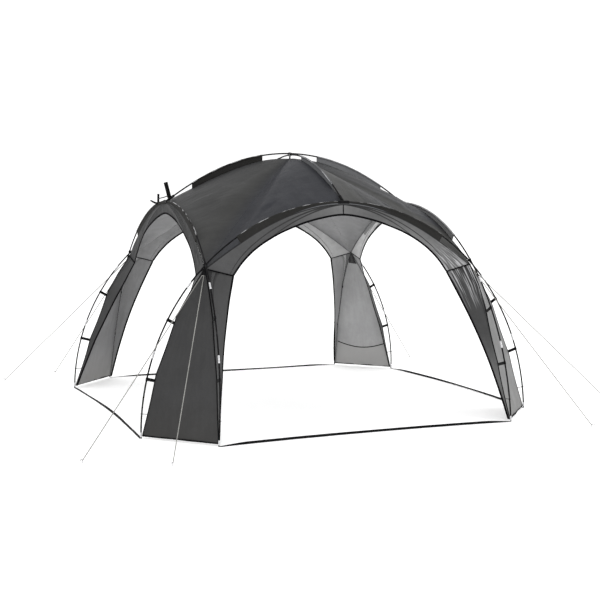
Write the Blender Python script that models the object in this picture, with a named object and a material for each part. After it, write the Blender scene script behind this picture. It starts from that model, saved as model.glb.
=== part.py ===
"""Garden gazebo: a square dome shelter on four crossing arch poles and two ridge poles.

Metres, +Z up, the ground at z = 0, the front opening toward -Y.
"""
import math

import bmesh
import bpy
import numpy as np
from mathutils import Vector

# Frame
HALF_SPAN = 1.75
ARCH_TOP = 1.821
ARCH_PLANE = 1.2743
ARCH_LEAN = 0.059
ARCH_STEP = 0.0117
POLE_R = 0.0065
FERRULE_R = 0.008
FERRULE_HALF = 0.03
FERRULE_HEIGHTS = (0.64, 1.17)
FOOT_R = 0.0075
FOOT_HEIGHT = 0.05
RIDGE_TOP = 2.26
RIDGE_SAG = 0.322
RIDGE_LIFT = 0.00665
RIDGE_STATIONS = (0.0, 0.12, 0.27, 0.43, 0.60, 0.77, 0.94, 1.05)
RIDGE_END_GAP = 0.027
SIDES = 8

# Cloth
CLOTH = 0.003
GAP = 0.0003
RIDGE_DROPS = (0.041, 0.040, 0.041, 0.048, 0.055, 0.053, 0.043, 0.032, 0.018)
ARCH_DROPS = (0.018, 0.022, 0.029, 0.038, 0.047, 0.053, 0.055, 0.045)
OPENING = ((0.0, 1.715), (0.21, 1.686), (0.41, 1.63), (0.60, 1.552), (0.77, 1.45), (0.89, 1.342), (0.975, 1.232))
CORNER_DROP = 0.0364
CREASE_BULGE = 0.045
LEG_INSET_FOOT = 0.012
LEG_INSET_MID = 0.06
LEG_INSET_TOP = 0.026
LEG_TOP_NIP = 0.0055
LEG_TOP_GAP = 0.0027
WING_BOW = 0.045
WING_BOW_SHARE = 0.6
WING_FOOT = 0.008
WING_HEAD_GAP = 0.0012
BASE_HEIGHT = 0.02

# Sleeves
SLEEVE_IN = 0.0068
SLEEVE_OUT = 0.0088
ARCH_SLEEVE_SPAN = 6
RIDGE_SLEEVE_FROM = 2
RIDGE_SLEEVE_TO = 6

# Straps, ties and guys
STRAP_HEIGHTS = (0.49, 0.94)
STRAP_WIDTH = 0.025
STRAP_THICK = 0.003
STRAP_FROM_POLE = 0.0025
STRAP_INTO_CLOTH = 0.0035
CORD_HEIGHT = 0.19
CORD_WIDTH = 0.004
GROUND_STRAP_WIDTH = 0.022
GROUND_STRAP_BOWS = (-0.05, 0.07, -0.03, -0.06)
HUB_OUT = 0.0125
HUB_HALF = 0.05
SOCKET_OUT = 0.0115
SOCKET_IN = 0.007
SOCKET_LENGTH = 0.046
SOCKET_FLOOR = 0.001
SOCKET_TO_HUB = 0.0165
CROWN_TIE_IN = 0.017
CROWN_TIE_OUT = 0.0195
CROWN_TIE_WIDTH = 0.01
CORNER_TIE_IN = 0.0138
CORNER_TIE_OUT = 0.0158
CORNER_TIE_WIDTH = 0.008
PATCH_LENGTH = 0.055
PATCH_HALF_WIDTH = 0.027
PATCH_THICK = 0.0023
GUY_R = 0.002
GUY_END = -0.0002
GUY_BEND = 0.007
GUY_FROM_PATCH = 0.002
GUY_LOW = 0.016
PEG_R = 0.004
PEG_HEIGHT = 0.028
PEG_SIDE = (2.33, 1.88)
PEG_END = (1.77, 2.19)

# Loose tape ends that stand up at the left peak: length, width, thickness
PEAK_TAB = (0.135, 0.036, 0.006)
PEAK_TAB_LEAN = -0.035
PEAK_TAB_FROM_ARCH = 0.032
TAPE_POST = (0.078, 0.016, 0.008)
TAPE_HOOK = (0.062, 0.011, 0.011)
TAPE_HOOK_RISE = 0.022

SEGMENTS = 8
SIDE_NAMES = ("front", "right", "back", "left")
CORNERS = (("front_left", -1, -1), ("front_right", 1, -1), ("back_right", 1, 1), ("back_left", -1, 1))


# Scene objects and materials
for old in list(bpy.data.objects):
    bpy.data.objects.remove(old, do_unlink=True)


def material(name, colour, roughness, metallic=0.0):
    mat = bpy.data.materials.new(name)
    mat.use_nodes = True
    shader = mat.node_tree.nodes["Principled BSDF"]
    shader.inputs["Base Color"].default_value = (*colour, 1.0)
    shader.inputs["Roughness"].default_value = roughness
    shader.inputs["Metallic"].default_value = metallic
    return mat


CLOTH_MAT = material("coated_cloth", (0.075, 0.075, 0.08), 0.6)
SLEEVE_MAT = material("sleeve_cloth", (0.03, 0.03, 0.033), 0.6)
POLE_MAT = material("pole_coating", (0.03, 0.03, 0.033), 0.35)
WEBBING_MAT = material("black_webbing", (0.015, 0.015, 0.016), 0.8)
PLASTIC_MAT = material("black_plastic", (0.02, 0.02, 0.02), 0.45)
CORD_MAT = material("pale_cord", (0.55, 0.55, 0.52), 0.8)
STEEL_MAT = material("peg_steel", (0.55, 0.55, 0.57), 0.35, 1.0)


def finish(name, bm, mat, smooth=False):
    """Turn a bmesh into a named object with outward faces."""
    bmesh.ops.remove_doubles(bm, verts=bm.verts, dist=0.00001)
    bmesh.ops.recalc_face_normals(bm, faces=bm.faces)
    mesh = bpy.data.meshes.new(name)
    bm.to_mesh(mesh)
    bm.free()
    mesh.materials.append(mat)
    for poly in mesh.polygons:
        poly.use_smooth = smooth
    obj = bpy.data.objects.new(name, mesh)
    bpy.context.scene.collection.objects.link(obj)
    return obj


def join(obj, helper):
    """Weld a helper solid onto an object and drop the helper."""
    mod = obj.modifiers.new("weld", "BOOLEAN")
    mod.operation = "UNION"
    mod.solver = "EXACT"
    mod.object = helper
    depsgraph = bpy.context.evaluated_depsgraph_get()
    mesh = bpy.data.meshes.new_from_object(obj.evaluated_get(depsgraph))
    obj.modifiers.clear()
    obj.data = mesh
    bpy.data.objects.remove(helper, do_unlink=True)


# Arch curve
def arch_point(angle):
    return HALF_SPAN * math.cos(angle), ARCH_TOP * math.sin(angle)


def angle_at(height):
    return math.asin(height / ARCH_TOP)


def arch_step(side):
    return -ARCH_STEP if side % 2 == 0 else ARCH_STEP


def turned(side, x, y, z):
    for _ in range(side):
        x, y = -y, x
    return Vector((x, y, z))


def plane_out(side):
    length = math.hypot(1.0, ARCH_LEAN)
    return turned(side, 0.0, -1.0 / length, ARCH_LEAN / length)


def place(side, along, height, out=0.0):
    depth = ARCH_PLANE - ARCH_LEAN * height + arch_step(side)
    return turned(side, along, -depth, height) + plane_out(side) * out


def arch_frame(side, angle):
    """Centre, tangent, outward and inward-in-plane directions of an arch pole."""
    small = 0.0005
    low = max(angle - small, 0.0)
    high = min(angle + small, math.pi)
    tangent = (place(side, *arch_point(high)) - place(side, *arch_point(low))).normalized()
    out = plane_out(side)
    return place(side, *arch_point(angle)), tangent, out, out.cross(tangent).normalized()


def node_angle():
    low = 0.3
    high = 1.4
    for _ in range(60):
        mid = (low + high) / 2.0
        along, height = arch_point(mid)
        if along > ARCH_PLANE - ARCH_LEAN * height:
            low = mid
        else:
            high = mid
    return low


def spaced(start, end, count):
    """Angles at equal steps of arc length between two angles, both included."""
    fine = 400
    angles = [start + (end - start) * i / fine for i in range(fine + 1)]
    points = [Vector(arch_point(a)) for a in angles]
    run = [0.0]
    for a, b in zip(points, points[1:]):
        run.append(run[-1] + (b - a).length)
    return [float(np.interp(run[-1] * i / count, run, angles)) for i in range(count + 1)]


NODE_ANGLE = node_angle()
NODE_HEIGHT = arch_point(NODE_ANGLE)[1]
HALF_ANGLES = spaced(0.0, NODE_ANGLE, SEGMENTS)[:-1] + spaced(NODE_ANGLE, math.pi / 2.0, SEGMENTS)
STATIONS = HALF_ANGLES + [math.pi - a for a in reversed(HALF_ANGLES[:-1])]
PEAK = 2 * SEGMENTS
CORNER_HEIGHT = NODE_HEIGHT - CORNER_DROP


def circle(count=SIDES):
    return [math.pi * (2 * i + 1) / count for i in range(count)]


def arch_ring(side, angle, radius, section):
    centre, tangent, out, inward = arch_frame(side, angle)
    ring = [centre + out * (radius * math.cos(a)) - inward * (radius * math.sin(a)) for a in section]
    if centre.z < 0.001:
        ring = [p - tangent * (p.z / tangent.z) for p in ring]
    return ring


def sweep(bm, rings, closed_ends=True):
    """Skin a list of equal rings, with flat ends."""
    rows = [[bm.verts.new(p) for p in ring] for ring in rings]
    count = len(rows[0])
    for a, b in zip(rows, rows[1:]):
        for i in range(count):
            j = (i + 1) % count
            bm.faces.new((a[i], a[j], b[j], b[i]))
    if closed_ends:
        bm.faces.new(rows[0])
        bm.faces.new(rows[-1])
    return rows


# Arch poles
def arch_pole(side):
    marks = []
    for height in FERRULE_HEIGHTS:
        angle = angle_at(height)
        marks += [angle, math.pi - angle]
    stops = []
    for angle in STATIONS:
        here = Vector(arch_point(angle))
        if all((here - Vector(arch_point(m))).length > 1.8 * FERRULE_HALF for m in marks):
            stops.append((angle, POLE_R))
    for mark in marks:
        speed = (Vector(arch_point(mark + 0.001)) - Vector(arch_point(mark - 0.001))).length / 0.002
        half = FERRULE_HALF / speed
        stops += [(mark - half, POLE_R), (mark - half + 1e-9, FERRULE_R)]
        stops += [(mark + half, FERRULE_R), (mark + half + 1e-9, POLE_R)]
    tip = angle_at(FOOT_HEIGHT)
    stops = [s for s in stops if 0.001 < s[0] < math.pi - 0.001]
    stops += [(0.0, FOOT_R), (tip, FOOT_R), (tip + 1e-9, POLE_R)]
    stops += [(math.pi, FOOT_R), (math.pi - tip, FOOT_R), (math.pi - tip - 1e-9, POLE_R)]
    stops.sort()
    bm = bmesh.new()
    sweep(bm, [arch_ring(side, angle, radius, circle()) for angle, radius in stops])
    return finish("arch_pole_" + SIDE_NAMES[side], bm, POLE_MAT, True)


for k in range(4):
    arch_pole(k)


# Ridge poles, rings kept in upright planes
def ridge_height(s, lift=0.0):
    return RIDGE_TOP + lift - RIDGE_SAG * s * s


def ridge_lift(side):
    return -RIDGE_LIFT if side % 2 == 0 else RIDGE_LIFT


def ridge_end(side):
    return ARCH_PLANE - ARCH_LEAN * ARCH_TOP + arch_step(side) - RIDGE_END_GAP


def ridge_ring(side, s, radius, section):
    stretch = math.hypot(1.0, 2.0 * RIDGE_SAG * s)
    centre = ridge_height(s, ridge_lift(side))
    return [
        turned(side, radius * math.cos(a), -s, centre + radius * stretch * math.sin(a)) for a in section
    ]


def ridge_pole(side):
    half = list(RIDGE_STATIONS[1:]) + [ridge_end(side)]
    stops = [-s for s in reversed(half)] + [0.0] + half
    bm = bmesh.new()
    sweep(bm, [ridge_ring(side, s, POLE_R, circle()) for s in stops])
    name = "ridge_pole_across" if side % 2 else "ridge_pole_along"
    return finish(name, bm, POLE_MAT, True)


ridge_pole(0)
ridge_pole(1)


# Solids of cloth
def slab(bm, top, bottom):
    """Close two equal grids of points into one solid."""
    rows = len(top)
    cols = len(top[0])
    up = [[bm.verts.new(p) for p in row] for row in top]
    low = [[bm.verts.new(p) for p in row] for row in bottom]
    for grid in (up, low):
        for i in range(rows - 1):
            for j in range(cols - 1):
                a, b, c, d = grid[i][j], grid[i][j + 1], grid[i + 1][j + 1], grid[i + 1][j]
                bm.faces.new((a, b, c))
                bm.faces.new((a, c, d))
    rim = [(0, j) for j in range(cols)] + [(i, cols - 1) for i in range(1, rows)]
    rim += [(rows - 1, j) for j in range(cols - 2, -1, -1)] + [(i, 0) for i in range(rows - 2, 0, -1)]
    for (i, j), (m, n) in zip(rim, rim[1:] + rim[:1]):
        bm.faces.new((up[i][j], up[m][n], low[m][n], low[i][j]))


def offsets(grid, patch, planes, distance):
    """Offset of each grid point that keeps every patch's thickness and every border plane."""
    rows = len(grid)
    cols = len(grid[0])
    sums = {}
    for i in range(rows - 1):
        for j in range(cols - 1):
            a, b, c, d = grid[i][j], grid[i][j + 1], grid[i + 1][j + 1], grid[i + 1][j]
            for tri, corners in (((a, b, c), ((i, j), (i, j + 1), (i + 1, j + 1))),
                                 ((a, c, d), ((i, j), (i + 1, j + 1), (i + 1, j)))):
                normal = (tri[1] - tri[0]).cross(tri[2] - tri[0])
                if normal.length < 1e-12:
                    continue
                key = patch(corners)
                for spot in corners:
                    groups = sums.setdefault(spot, {})
                    groups[key] = groups.get(key, Vector((0.0, 0.0, 0.0))) + normal
    result = []
    for i in range(rows):
        row = []
        for j in range(cols):
            lines = [list(v.normalized()) for v in sums[(i, j)].values()]
            values = [distance] * len(lines)
            for plane in planes(i, j):
                lines.append([4.0 * x for x in plane])
                values.append(0.0)
            answer = np.linalg.lstsq(np.array(lines), np.array(values), rcond=0.05)[0]
            row.append(Vector([float(x) for x in answer]))
        result.append(row)
    return result


# Edge of the openings
def opening_points(count):
    knots = [Vector(p) for p in OPENING]
    mirrored = Vector((-knots[1].x, knots[1].y))
    ahead = knots[-1] * 2.0 - knots[-2]
    chain = [mirrored] + knots + [ahead]
    fine = []
    for p0, p1, p2, p3 in zip(chain, chain[1:], chain[2:], chain[3:]):
        for step in range(12):
            t = step / 12.0
            fine.append(0.5 * (2.0 * p1 + (p2 - p0) * t + (2.0 * p0 - 5.0 * p1 + 4.0 * p2 - p3) * t * t
                               + (3.0 * p1 - p0 - 3.0 * p2 + p3) * t ** 3))
    fine.append(knots[-1])
    run = [0.0]
    for a, b in zip(fine, fine[1:]):
        run.append(run[-1] + (b - a).length)
    points = []
    for i in range(count + 1):
        spot = run[-1] * i / count
        points.append((float(np.interp(spot, run, [p.x for p in fine])),
                       float(np.interp(spot, run, [p.y for p in fine]))))
    return points


OPENING_EDGE = opening_points(SEGMENTS)


def corner_along(side):
    """Where an arch band stops at the corner: odd sides cover the ends of even ones."""
    base = ARCH_PLANE - ARCH_LEAN * CORNER_HEIGHT
    if side % 2 == 0:
        return base + ARCH_STEP - CLOTH / 2.0 - GAP
    return base - ARCH_STEP + CLOTH / 2.0


def seam_point(side, index, extra=0.0):
    """Seam below the pole at a station counted from the peak, toward +along, in plane coordinates."""
    if index == SEGMENTS:
        return corner_along(side), CORNER_HEIGHT - extra
    angle = STATIONS[PEAK - index]
    along, height = arch_point(angle)
    tangent = (Vector(arch_point(angle + 0.0005)) - Vector(arch_point(angle - 0.0005))).normalized()
    inward = Vector((-tangent.y, tangent.x))
    if inward.y > 0.0:
        inward = -inward
    drop = ARCH_DROPS[index] + extra
    return along + inward.x * drop, height + inward.y * drop


# Arch bands
def arch_band(side):
    tops = [seam_point(side, i, GAP / 2.0) for i in range(SEGMENTS + 1)]
    half = []
    for top, low in zip(tops, OPENING_EDGE):
        middle = ((top[0] + low[0]) / 2.0, (top[1] + low[1]) / 2.0)
        half.append((top, middle, low))
    columns = [tuple((-a, b) for a, b in col) for col in reversed(half[1:])] + half
    outer = [[place(side, a, b, CLOTH / 2.0) for a, b in col] for col in columns]
    inner = [[place(side, a, b, -CLOTH / 2.0) for a, b in col] for col in columns]
    bm = bmesh.new()
    slab(bm, outer, inner)
    return finish("arch_band_" + SIDE_NAMES[side], bm, CLOTH_MAT)


for k in range(4):
    arch_band(k)


# Pole sleeves: a tube round the pole on an upright web
SLEEVE_ARC = [math.pi * (2 * i - 1) / SIDES for i in range(6)]


def keyhole(bm, outer_rings, inner_rings):
    """Skin a tube with a web. Outer rings hold six arc points and four web points."""
    rows_out = [[bm.verts.new(p) for p in ring] for ring in outer_rings]
    rows_in = [[bm.verts.new(p) for p in ring] for ring in inner_rings]
    for rows in (rows_out, rows_in):
        count = len(rows[0])
        for a, b in zip(rows, rows[1:]):
            for i in range(count):
                j = (i + 1) % count
                bm.faces.new((a[i], a[j], b[j], b[i]))
    for end in (0, -1):
        o = rows_out[end]
        n = rows_in[end]
        for i in range(6):
            j = i + 1
            bm.faces.new((o[i], o[j], n[j], n[i]))
        bm.faces.new((o[6], o[9], n[7], n[6]))
        bm.faces.new((o[6], o[7], o[8], o[9]))
        bm.faces.new((o[9], o[0], n[0], n[7]))


def arch_sleeve(side):
    outer_rings = []
    inner_rings = []
    for index in range(-ARCH_SLEEVE_SPAN, ARCH_SLEEVE_SPAN + 1):
        angle = STATIONS[PEAK - index]
        centre, tangent, out, inward = arch_frame(side, angle)
        drop = ARCH_DROPS[abs(index)] - GAP / 2.0
        arc = arch_ring(side, angle, SLEEVE_OUT, SLEEVE_ARC)
        half = CLOTH / 2.0
        neck = SLEEVE_OUT * math.cos(math.pi / SIDES)
        arc += [centre - out * half + inward * neck, centre - out * half + inward * drop,
                centre + out * half + inward * drop, centre + out * half + inward * neck]
        outer_rings.append(arc)
        inner_rings.append(arch_ring(side, angle, SLEEVE_IN, [math.pi * (2 * i - 1) / SIDES for i in range(8)]))
    bm = bmesh.new()
    keyhole(bm, outer_rings, inner_rings)
    return finish("arch_sleeve_" + SIDE_NAMES[side], bm, SLEEVE_MAT)


for k in range(4):
    arch_sleeve(k)


# Roof panels, one to each corner
def mirrored(sx, sy, p):
    return Vector((p[0] * sx, p[1] * sy, p[2]))


def roof_ridge(index, side):
    """Cloth height and distance from the crown at a ridge station."""
    if index < SEGMENTS:
        s = RIDGE_STATIONS[index]
        return s, ridge_height(s) - RIDGE_DROPS[index]
    along, height = seam_point(side, 0)
    return ARCH_PLANE - ARCH_LEAN * height + arch_step(side) - CLOTH / 2.0 - GAP, height


def crease(t):
    """Point on the roof's diagonal, t from crown to corner, as x and y distances and height."""
    crown = ridge_height(0.0) - RIDGE_DROPS[0]
    x = (ARCH_PLANE - ARCH_LEAN * CORNER_HEIGHT + ARCH_STEP - CLOTH / 2.0 - GAP) * t
    y = (ARCH_PLANE - ARCH_LEAN * CORNER_HEIGHT - ARCH_STEP - CLOTH / 2.0 - GAP) * t
    z = crown + (CORNER_HEIGHT - crown) * t + CREASE_BULGE * math.sin(math.pi * t)
    return Vector((x, y, z))


def roof_edge(t_index, side):
    """Arch seam seen from the roof, index from peak to corner."""
    along, height = seam_point(side, t_index)
    depth = ARCH_PLANE - ARCH_LEAN * height + arch_step(side) - CLOTH / 2.0 - GAP
    return along, depth, height


def roof_point(i, j):
    """Roof point in the first quadrant; i runs toward the side arch, j toward the end arch."""
    big = max(i, j)
    small = min(i, j)
    toward_side = i >= j
    side = 1 if toward_side else 0
    distances = [roof_ridge(k, side)[0] for k in range(SEGMENTS + 1)]
    share = distances[big] / distances[-1]
    if big == 0:
        return Vector((GAP / 2.0, GAP / 2.0, roof_ridge(0, side)[1]))
    t = small / big
    s, z = roof_ridge(big, side)
    ridge = Vector((s, 0.0, z)) if toward_side else Vector((0.0, s, z))
    diag = crease(share)
    last_s, last_z = roof_ridge(SEGMENTS, side)
    last_ridge = Vector((last_s, 0.0, last_z)) if toward_side else Vector((0.0, last_s, last_z))
    spot = t * SEGMENTS
    low = min(int(spot), SEGMENTS - 1)
    rest = spot - low
    corner = crease(1.0)
    ends = []
    for index in (low, low + 1):
        if index == SEGMENTS:
            ends.append(corner)
            continue
        along, depth, height = roof_edge(index, side)
        ends.append(Vector((depth, along, height)) if toward_side else Vector((along, depth, height)))
    edge = ends[0].lerp(ends[1], rest)
    swell = edge - last_ridge.lerp(corner, t)
    point = ridge.lerp(diag, t) + swell * share ** 1.2
    if j == 0:
        point.y = GAP / 2.0
    if i == 0:
        point.x = GAP / 2.0
    return point


def roof_panel(name, sx, sy):
    grid = [[mirrored(sx, sy, roof_point(i, j)) for j in range(SEGMENTS + 1)] for i in range(SEGMENTS + 1)]
    side_out = (sx, 0.0, ARCH_LEAN)
    end_out = (0.0, sy, ARCH_LEAN)

    def patch(corners):
        return sum(i - j for i, j in corners) > 0

    def planes(i, j):
        found = []
        if i == 0:
            found.append((1.0, 0.0, 0.0))
        if j == 0:
            found.append((0.0, 1.0, 0.0))
        if i == SEGMENTS:
            found.append(side_out)
        if j == SEGMENTS:
            found.append(end_out)
        return found

    up = offsets(grid, patch, planes, CLOTH / 2.0 * sx * sy)
    top = [[p + o for p, o in zip(row, moves)] for row, moves in zip(grid, up)]
    low = [[p - o for p, o in zip(row, moves)] for row, moves in zip(grid, up)]
    bm = bmesh.new()
    slab(bm, top, low)
    return finish("roof_panel_" + name, bm, CLOTH_MAT)


for corner_name, sign_x, sign_y in CORNERS:
    roof_panel(corner_name, sign_x, sign_y)


# Ridge sleeves stand on the seam between two roof panels
def ridge_sleeve(side):
    outer_rings = []
    inner_rings = []
    half = CLOTH / 2.0
    for index in range(RIDGE_SLEEVE_FROM, RIDGE_SLEEVE_TO + 1):
        s = RIDGE_STATIONS[index]
        stretch = math.hypot(1.0, 2.0 * RIDGE_SAG * s)
        centre = ridge_height(s, ridge_lift(side))
        foot = ridge_height(s) - RIDGE_DROPS[index] + half * stretch * 1.04 + GAP
        neck = centre - SLEEVE_OUT * math.cos(math.pi / SIDES) * stretch
        arc = ridge_ring(side, s, SLEEVE_OUT, SLEEVE_ARC)
        arc += [turned(side, -half, -s, neck), turned(side, -half, -s, foot),
                turned(side, half, -s, foot), turned(side, half, -s, neck)]
        outer_rings.append(arc)
        inner_rings.append(ridge_ring(side, s, SLEEVE_IN, [math.pi * (2 * i - 1) / SIDES for i in range(8)]))
    bm = bmesh.new()
    keyhole(bm, outer_rings, inner_rings)
    return finish("ridge_sleeve_" + SIDE_NAMES[side], bm, SLEEVE_MAT)


for k in range(4):
    ridge_sleeve(k)


# Corner legs: an outer panel, two side wings, and the straps to the poles
def leg_inset(height):
    share = min(height / NODE_HEIGHT, 1.0)
    rise = LEG_INSET_FOOT + (LEG_INSET_TOP - LEG_INSET_FOOT) * share
    return rise + LEG_INSET_MID * math.sin(math.pi * share)


def leg_edge(on_side_arch, height):
    """Cloth edge beside a leg pole in the first quadrant."""
    angle = angle_at(height)
    along, z = arch_point(angle)
    tangent = (Vector(arch_point(angle + 0.0005)) - Vector(arch_point(max(angle - 0.0005, 0.0)))).normalized()
    inset = leg_inset(height)
    along -= abs(tangent.y) * inset
    z -= abs(tangent.x) * inset
    step = ARCH_STEP if on_side_arch else -ARCH_STEP
    depth = ARCH_PLANE - ARCH_LEAN * z + step
    if on_side_arch:
        return Vector((depth, along, z))
    return Vector((along, depth, z))


def leg_grid():
    """Outer surface in the first quadrant, rows up the leg, columns from one opening to the other."""
    top = CORNER_HEIGHT - LEG_TOP_GAP
    face = CLOTH / 2.0
    x_top = ARCH_PLANE - ARCH_LEAN * top + ARCH_STEP + face
    y_top = ARCH_PLANE - ARCH_LEAN * top - ARCH_STEP + face
    below = BASE_HEIGHT + (top - BASE_HEIGHT) * (SEGMENTS - 1) / SEGMENTS
    across = leg_edge(False, below) - leg_edge(True, below)
    end_nip = LEG_TOP_NIP * abs(across.y / across.x)
    head_along, head_height = OPENING_EDGE[-1]
    head_height -= WING_HEAD_GAP
    rows = []
    for k in range(SEGMENTS + 1):
        v = k / SEGMENTS
        height = BASE_HEIGHT + (top - BASE_HEIGHT) * v
        if k < SEGMENTS:
            side_edge = leg_edge(True, height)
            end_edge = leg_edge(False, height)
            side_edge.z = height
            end_edge.z = height
        else:
            side_edge = Vector((x_top - LEG_TOP_NIP, y_top, top))
            end_edge = Vector((x_top, y_top - end_nip, top))
        ends = []
        for on_side, pole in ((True, side_edge), (False, end_edge)):
            start = leg_edge(on_side, BASE_HEIGHT)
            foot = Vector((start.x - WING_FOOT, start.y - WING_FOOT, BASE_HEIGHT))
            step = -ARCH_STEP if on_side else ARCH_STEP
            depth = ARCH_PLANE - ARCH_LEAN * head_height + step + face
            head = Vector((head_along, depth) if on_side else (depth, head_along)).to_3d()
            head.z = head_height
            spot = foot.lerp(head, v)
            pull = Vector((pole.x - spot.x, pole.y - spot.y, 0.0))
            bow = min(WING_BOW * math.sin(math.pi * v), WING_BOW_SHARE * pull.length)
            ends.append(spot + pull.normalized() * bow)
        first, last = ends
        row = [first, first.lerp(side_edge, 0.5)]
        row += [side_edge.lerp(end_edge, t) for t in (0.0, 0.25, 0.5, 0.75, 1.0)]
        row += [end_edge.lerp(last, 0.5), last]
        rows.append(row)
    return rows


LEG_GRID = leg_grid()


def strap_box(side, height, sign, width, thick):
    """Bar from the pole to the cloth edge at a height on one leg of an arch."""
    angle = angle_at(height)
    if sign < 0:
        angle = math.pi - angle
    centre, tangent, out, inward = arch_frame(side, angle)
    rings = []
    for distance in (POLE_R + STRAP_FROM_POLE, leg_inset(height) + STRAP_INTO_CLOTH):
        rings.append([centre + inward * distance + tangent * (width / 2.0 * a) + out * (thick / 2.0 * b)
                      for a, b in ((1, 1), (1, -1), (-1, -1), (-1, 1))])
    bm = bmesh.new()
    sweep(bm, rings)
    return finish("strap_helper", bm, WEBBING_MAT)


def corner_leg(name, sx, sy):
    grid = [[mirrored(sx, sy, p) for p in row] for row in LEG_GRID]
    cut_side = (grid[-1][2] - grid[-1][0]).cross(Vector((0.0, sy, ARCH_LEAN))).normalized()
    cut_end = (grid[-1][6] - grid[-1][8]).cross(Vector((sx, 0.0, ARCH_LEAN))).normalized()

    def patch(corners):
        middle = sum(j for _, j in corners) / 3.0
        return 0 if middle < 2 else (1 if middle < 6 else 2)

    def planes(i, j):
        if i == 0:
            return [(0.0, 0.0, 1.0)]
        if i == SEGMENTS:
            if j <= 2:
                return [tuple(cut_side)]
            if j >= 6:
                return [tuple(cut_end)]
            return [(0.0, 0.0, 1.0)]
        return []

    moves = offsets(grid, patch, planes, -CLOTH * sx * sy)
    probe = moves[4][4]
    if probe.x * sx + probe.y * sy > 0.0:
        moves = [[-o for o in row] for row in moves]
    low = [[p + o for p, o in zip(row, shift)] for row, shift in zip(grid, moves)]
    bm = bmesh.new()
    slab(bm, grid, low)
    obj = finish("corner_leg_" + name, bm, CLOTH_MAT)
    side_arch = 1 if sx > 0 else 3
    end_arch = 0 if sy < 0 else 2
    for arch in (side_arch, end_arch):
        here = place(arch, 1.0, 0.5)
        sign = 1 if here.x * sx > 0 and here.y * sy > 0 else -1
        for height in STRAP_HEIGHTS:
            join(obj, strap_box(arch, height, sign, STRAP_WIDTH, STRAP_THICK))
        join(obj, strap_box(arch, CORD_HEIGHT, sign, CORD_WIDTH, CORD_WIDTH))
    return obj


for corner_name, sign_x, sign_y in CORNERS:
    corner_leg(corner_name, sign_x, sign_y)


# Straps along the ground between the feet
def ground_strap(side):
    end = ARCH_PLANE - arch_step(side) - FOOT_R - 2.0 * GAP
    bow = GROUND_STRAP_BOWS[side]
    rings = []
    count = 10
    for i in range(count + 1):
        t = i / count
        x = -end + 2.0 * end * t
        y = -(HALF_SPAN + bow * math.sin(math.pi * t))
        slope = -bow * math.pi * math.cos(math.pi * t) / (2.0 * end)
        across = Vector((-slope, 1.0, 0.0)).normalized() * (GROUND_STRAP_WIDTH / 2.0)
        if i in (0, count):
            across = Vector((0.0, GROUND_STRAP_WIDTH / 2.0, 0.0))
        ring = []
        for a, z in ((1.0, 0.0), (-1.0, 0.0), (-1.0, STRAP_THICK), (1.0, STRAP_THICK)):
            ring.append(turned(side, x + across.x * a, y + across.y * a, z))
        rings.append(ring)
    bm = bmesh.new()
    sweep(bm, rings)
    return finish("ground_strap_" + SIDE_NAMES[side], bm, WEBBING_MAT)


for k in range(4):
    ground_strap(k)


# Hubs: a saddle on the arch sleeve with a socket for the ridge pole
def peak_hub(side):
    rings = []
    step = (Vector(arch_point(STATIONS[PEAK - 1])) - Vector(arch_point(STATIONS[PEAK]))).length
    for share in (-HUB_HALF / step, 0.0, HUB_HALF / step):
        near = STATIONS[PEAK]
        far = STATIONS[PEAK - 1] if share > 0.0 else STATIONS[PEAK + 1]
        ring = []
        for radius, section in ((SLEEVE_OUT + GAP, SLEEVE_ARC), (HUB_OUT, SLEEVE_ARC[::-1])):
            a = arch_ring(side, near, radius, section)
            b = arch_ring(side, far, radius, section)
            ring += [p.lerp(q, abs(share)) for p, q in zip(a, b)]
        rings.append(ring)
    bm = bmesh.new()
    rows = sweep(bm, rings, closed_ends=False)
    for row in (rows[0], rows[-1]):
        for i in range(5):
            bm.faces.new((row[i], row[i + 1], row[10 - i], row[11 - i]))
    hub = finish("peak_hub_" + SIDE_NAMES[side], bm, PLASTIC_MAT)
    low = RIDGE_STATIONS[-1]
    high = ridge_end(side)

    def chord_ring(s, radius):
        a = ridge_ring(side, low, radius, circle())
        b = ridge_ring(side, high, radius, circle())
        return [p.lerp(q, (s - low) / (high - low)) for p, q in zip(a, b)]

    floor = high + SOCKET_FLOOR
    mouth = floor - SOCKET_LENGTH
    bm = bmesh.new()
    sweep(bm, [chord_ring(floor, SOCKET_IN), chord_ring(mouth, SOCKET_IN), chord_ring(mouth, SOCKET_OUT),
               chord_ring(high + SOCKET_TO_HUB, SOCKET_OUT)])
    join(hub, finish("socket_helper", bm, PLASTIC_MAT))
    return hub


for k in range(4):
    peak_hub(k)


# Tape ends: a tab on the left hub, and a post and a hook on the left sleeve
def tape(start, end, across, size, rake=0.0):
    """Flat bar between two points, its width along a direction and its foot cut at a slope."""
    up = (end - start).normalized()
    flat = up.cross(across).normalized()
    across = flat.cross(up).normalized()
    rings = [[p + across * (size[1] / 2.0 * a) + flat * (size[2] / 2.0 * b) + up * (size[1] / 2.0 * a * slope)
              for a, b in ((-1, -1), (1, -1), (1, 1), (-1, 1))] for p, slope in ((start, rake), (end, 0.0))]
    bm = bmesh.new()
    sweep(bm, rings)
    return finish("tape_helper", bm, WEBBING_MAT)


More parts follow.
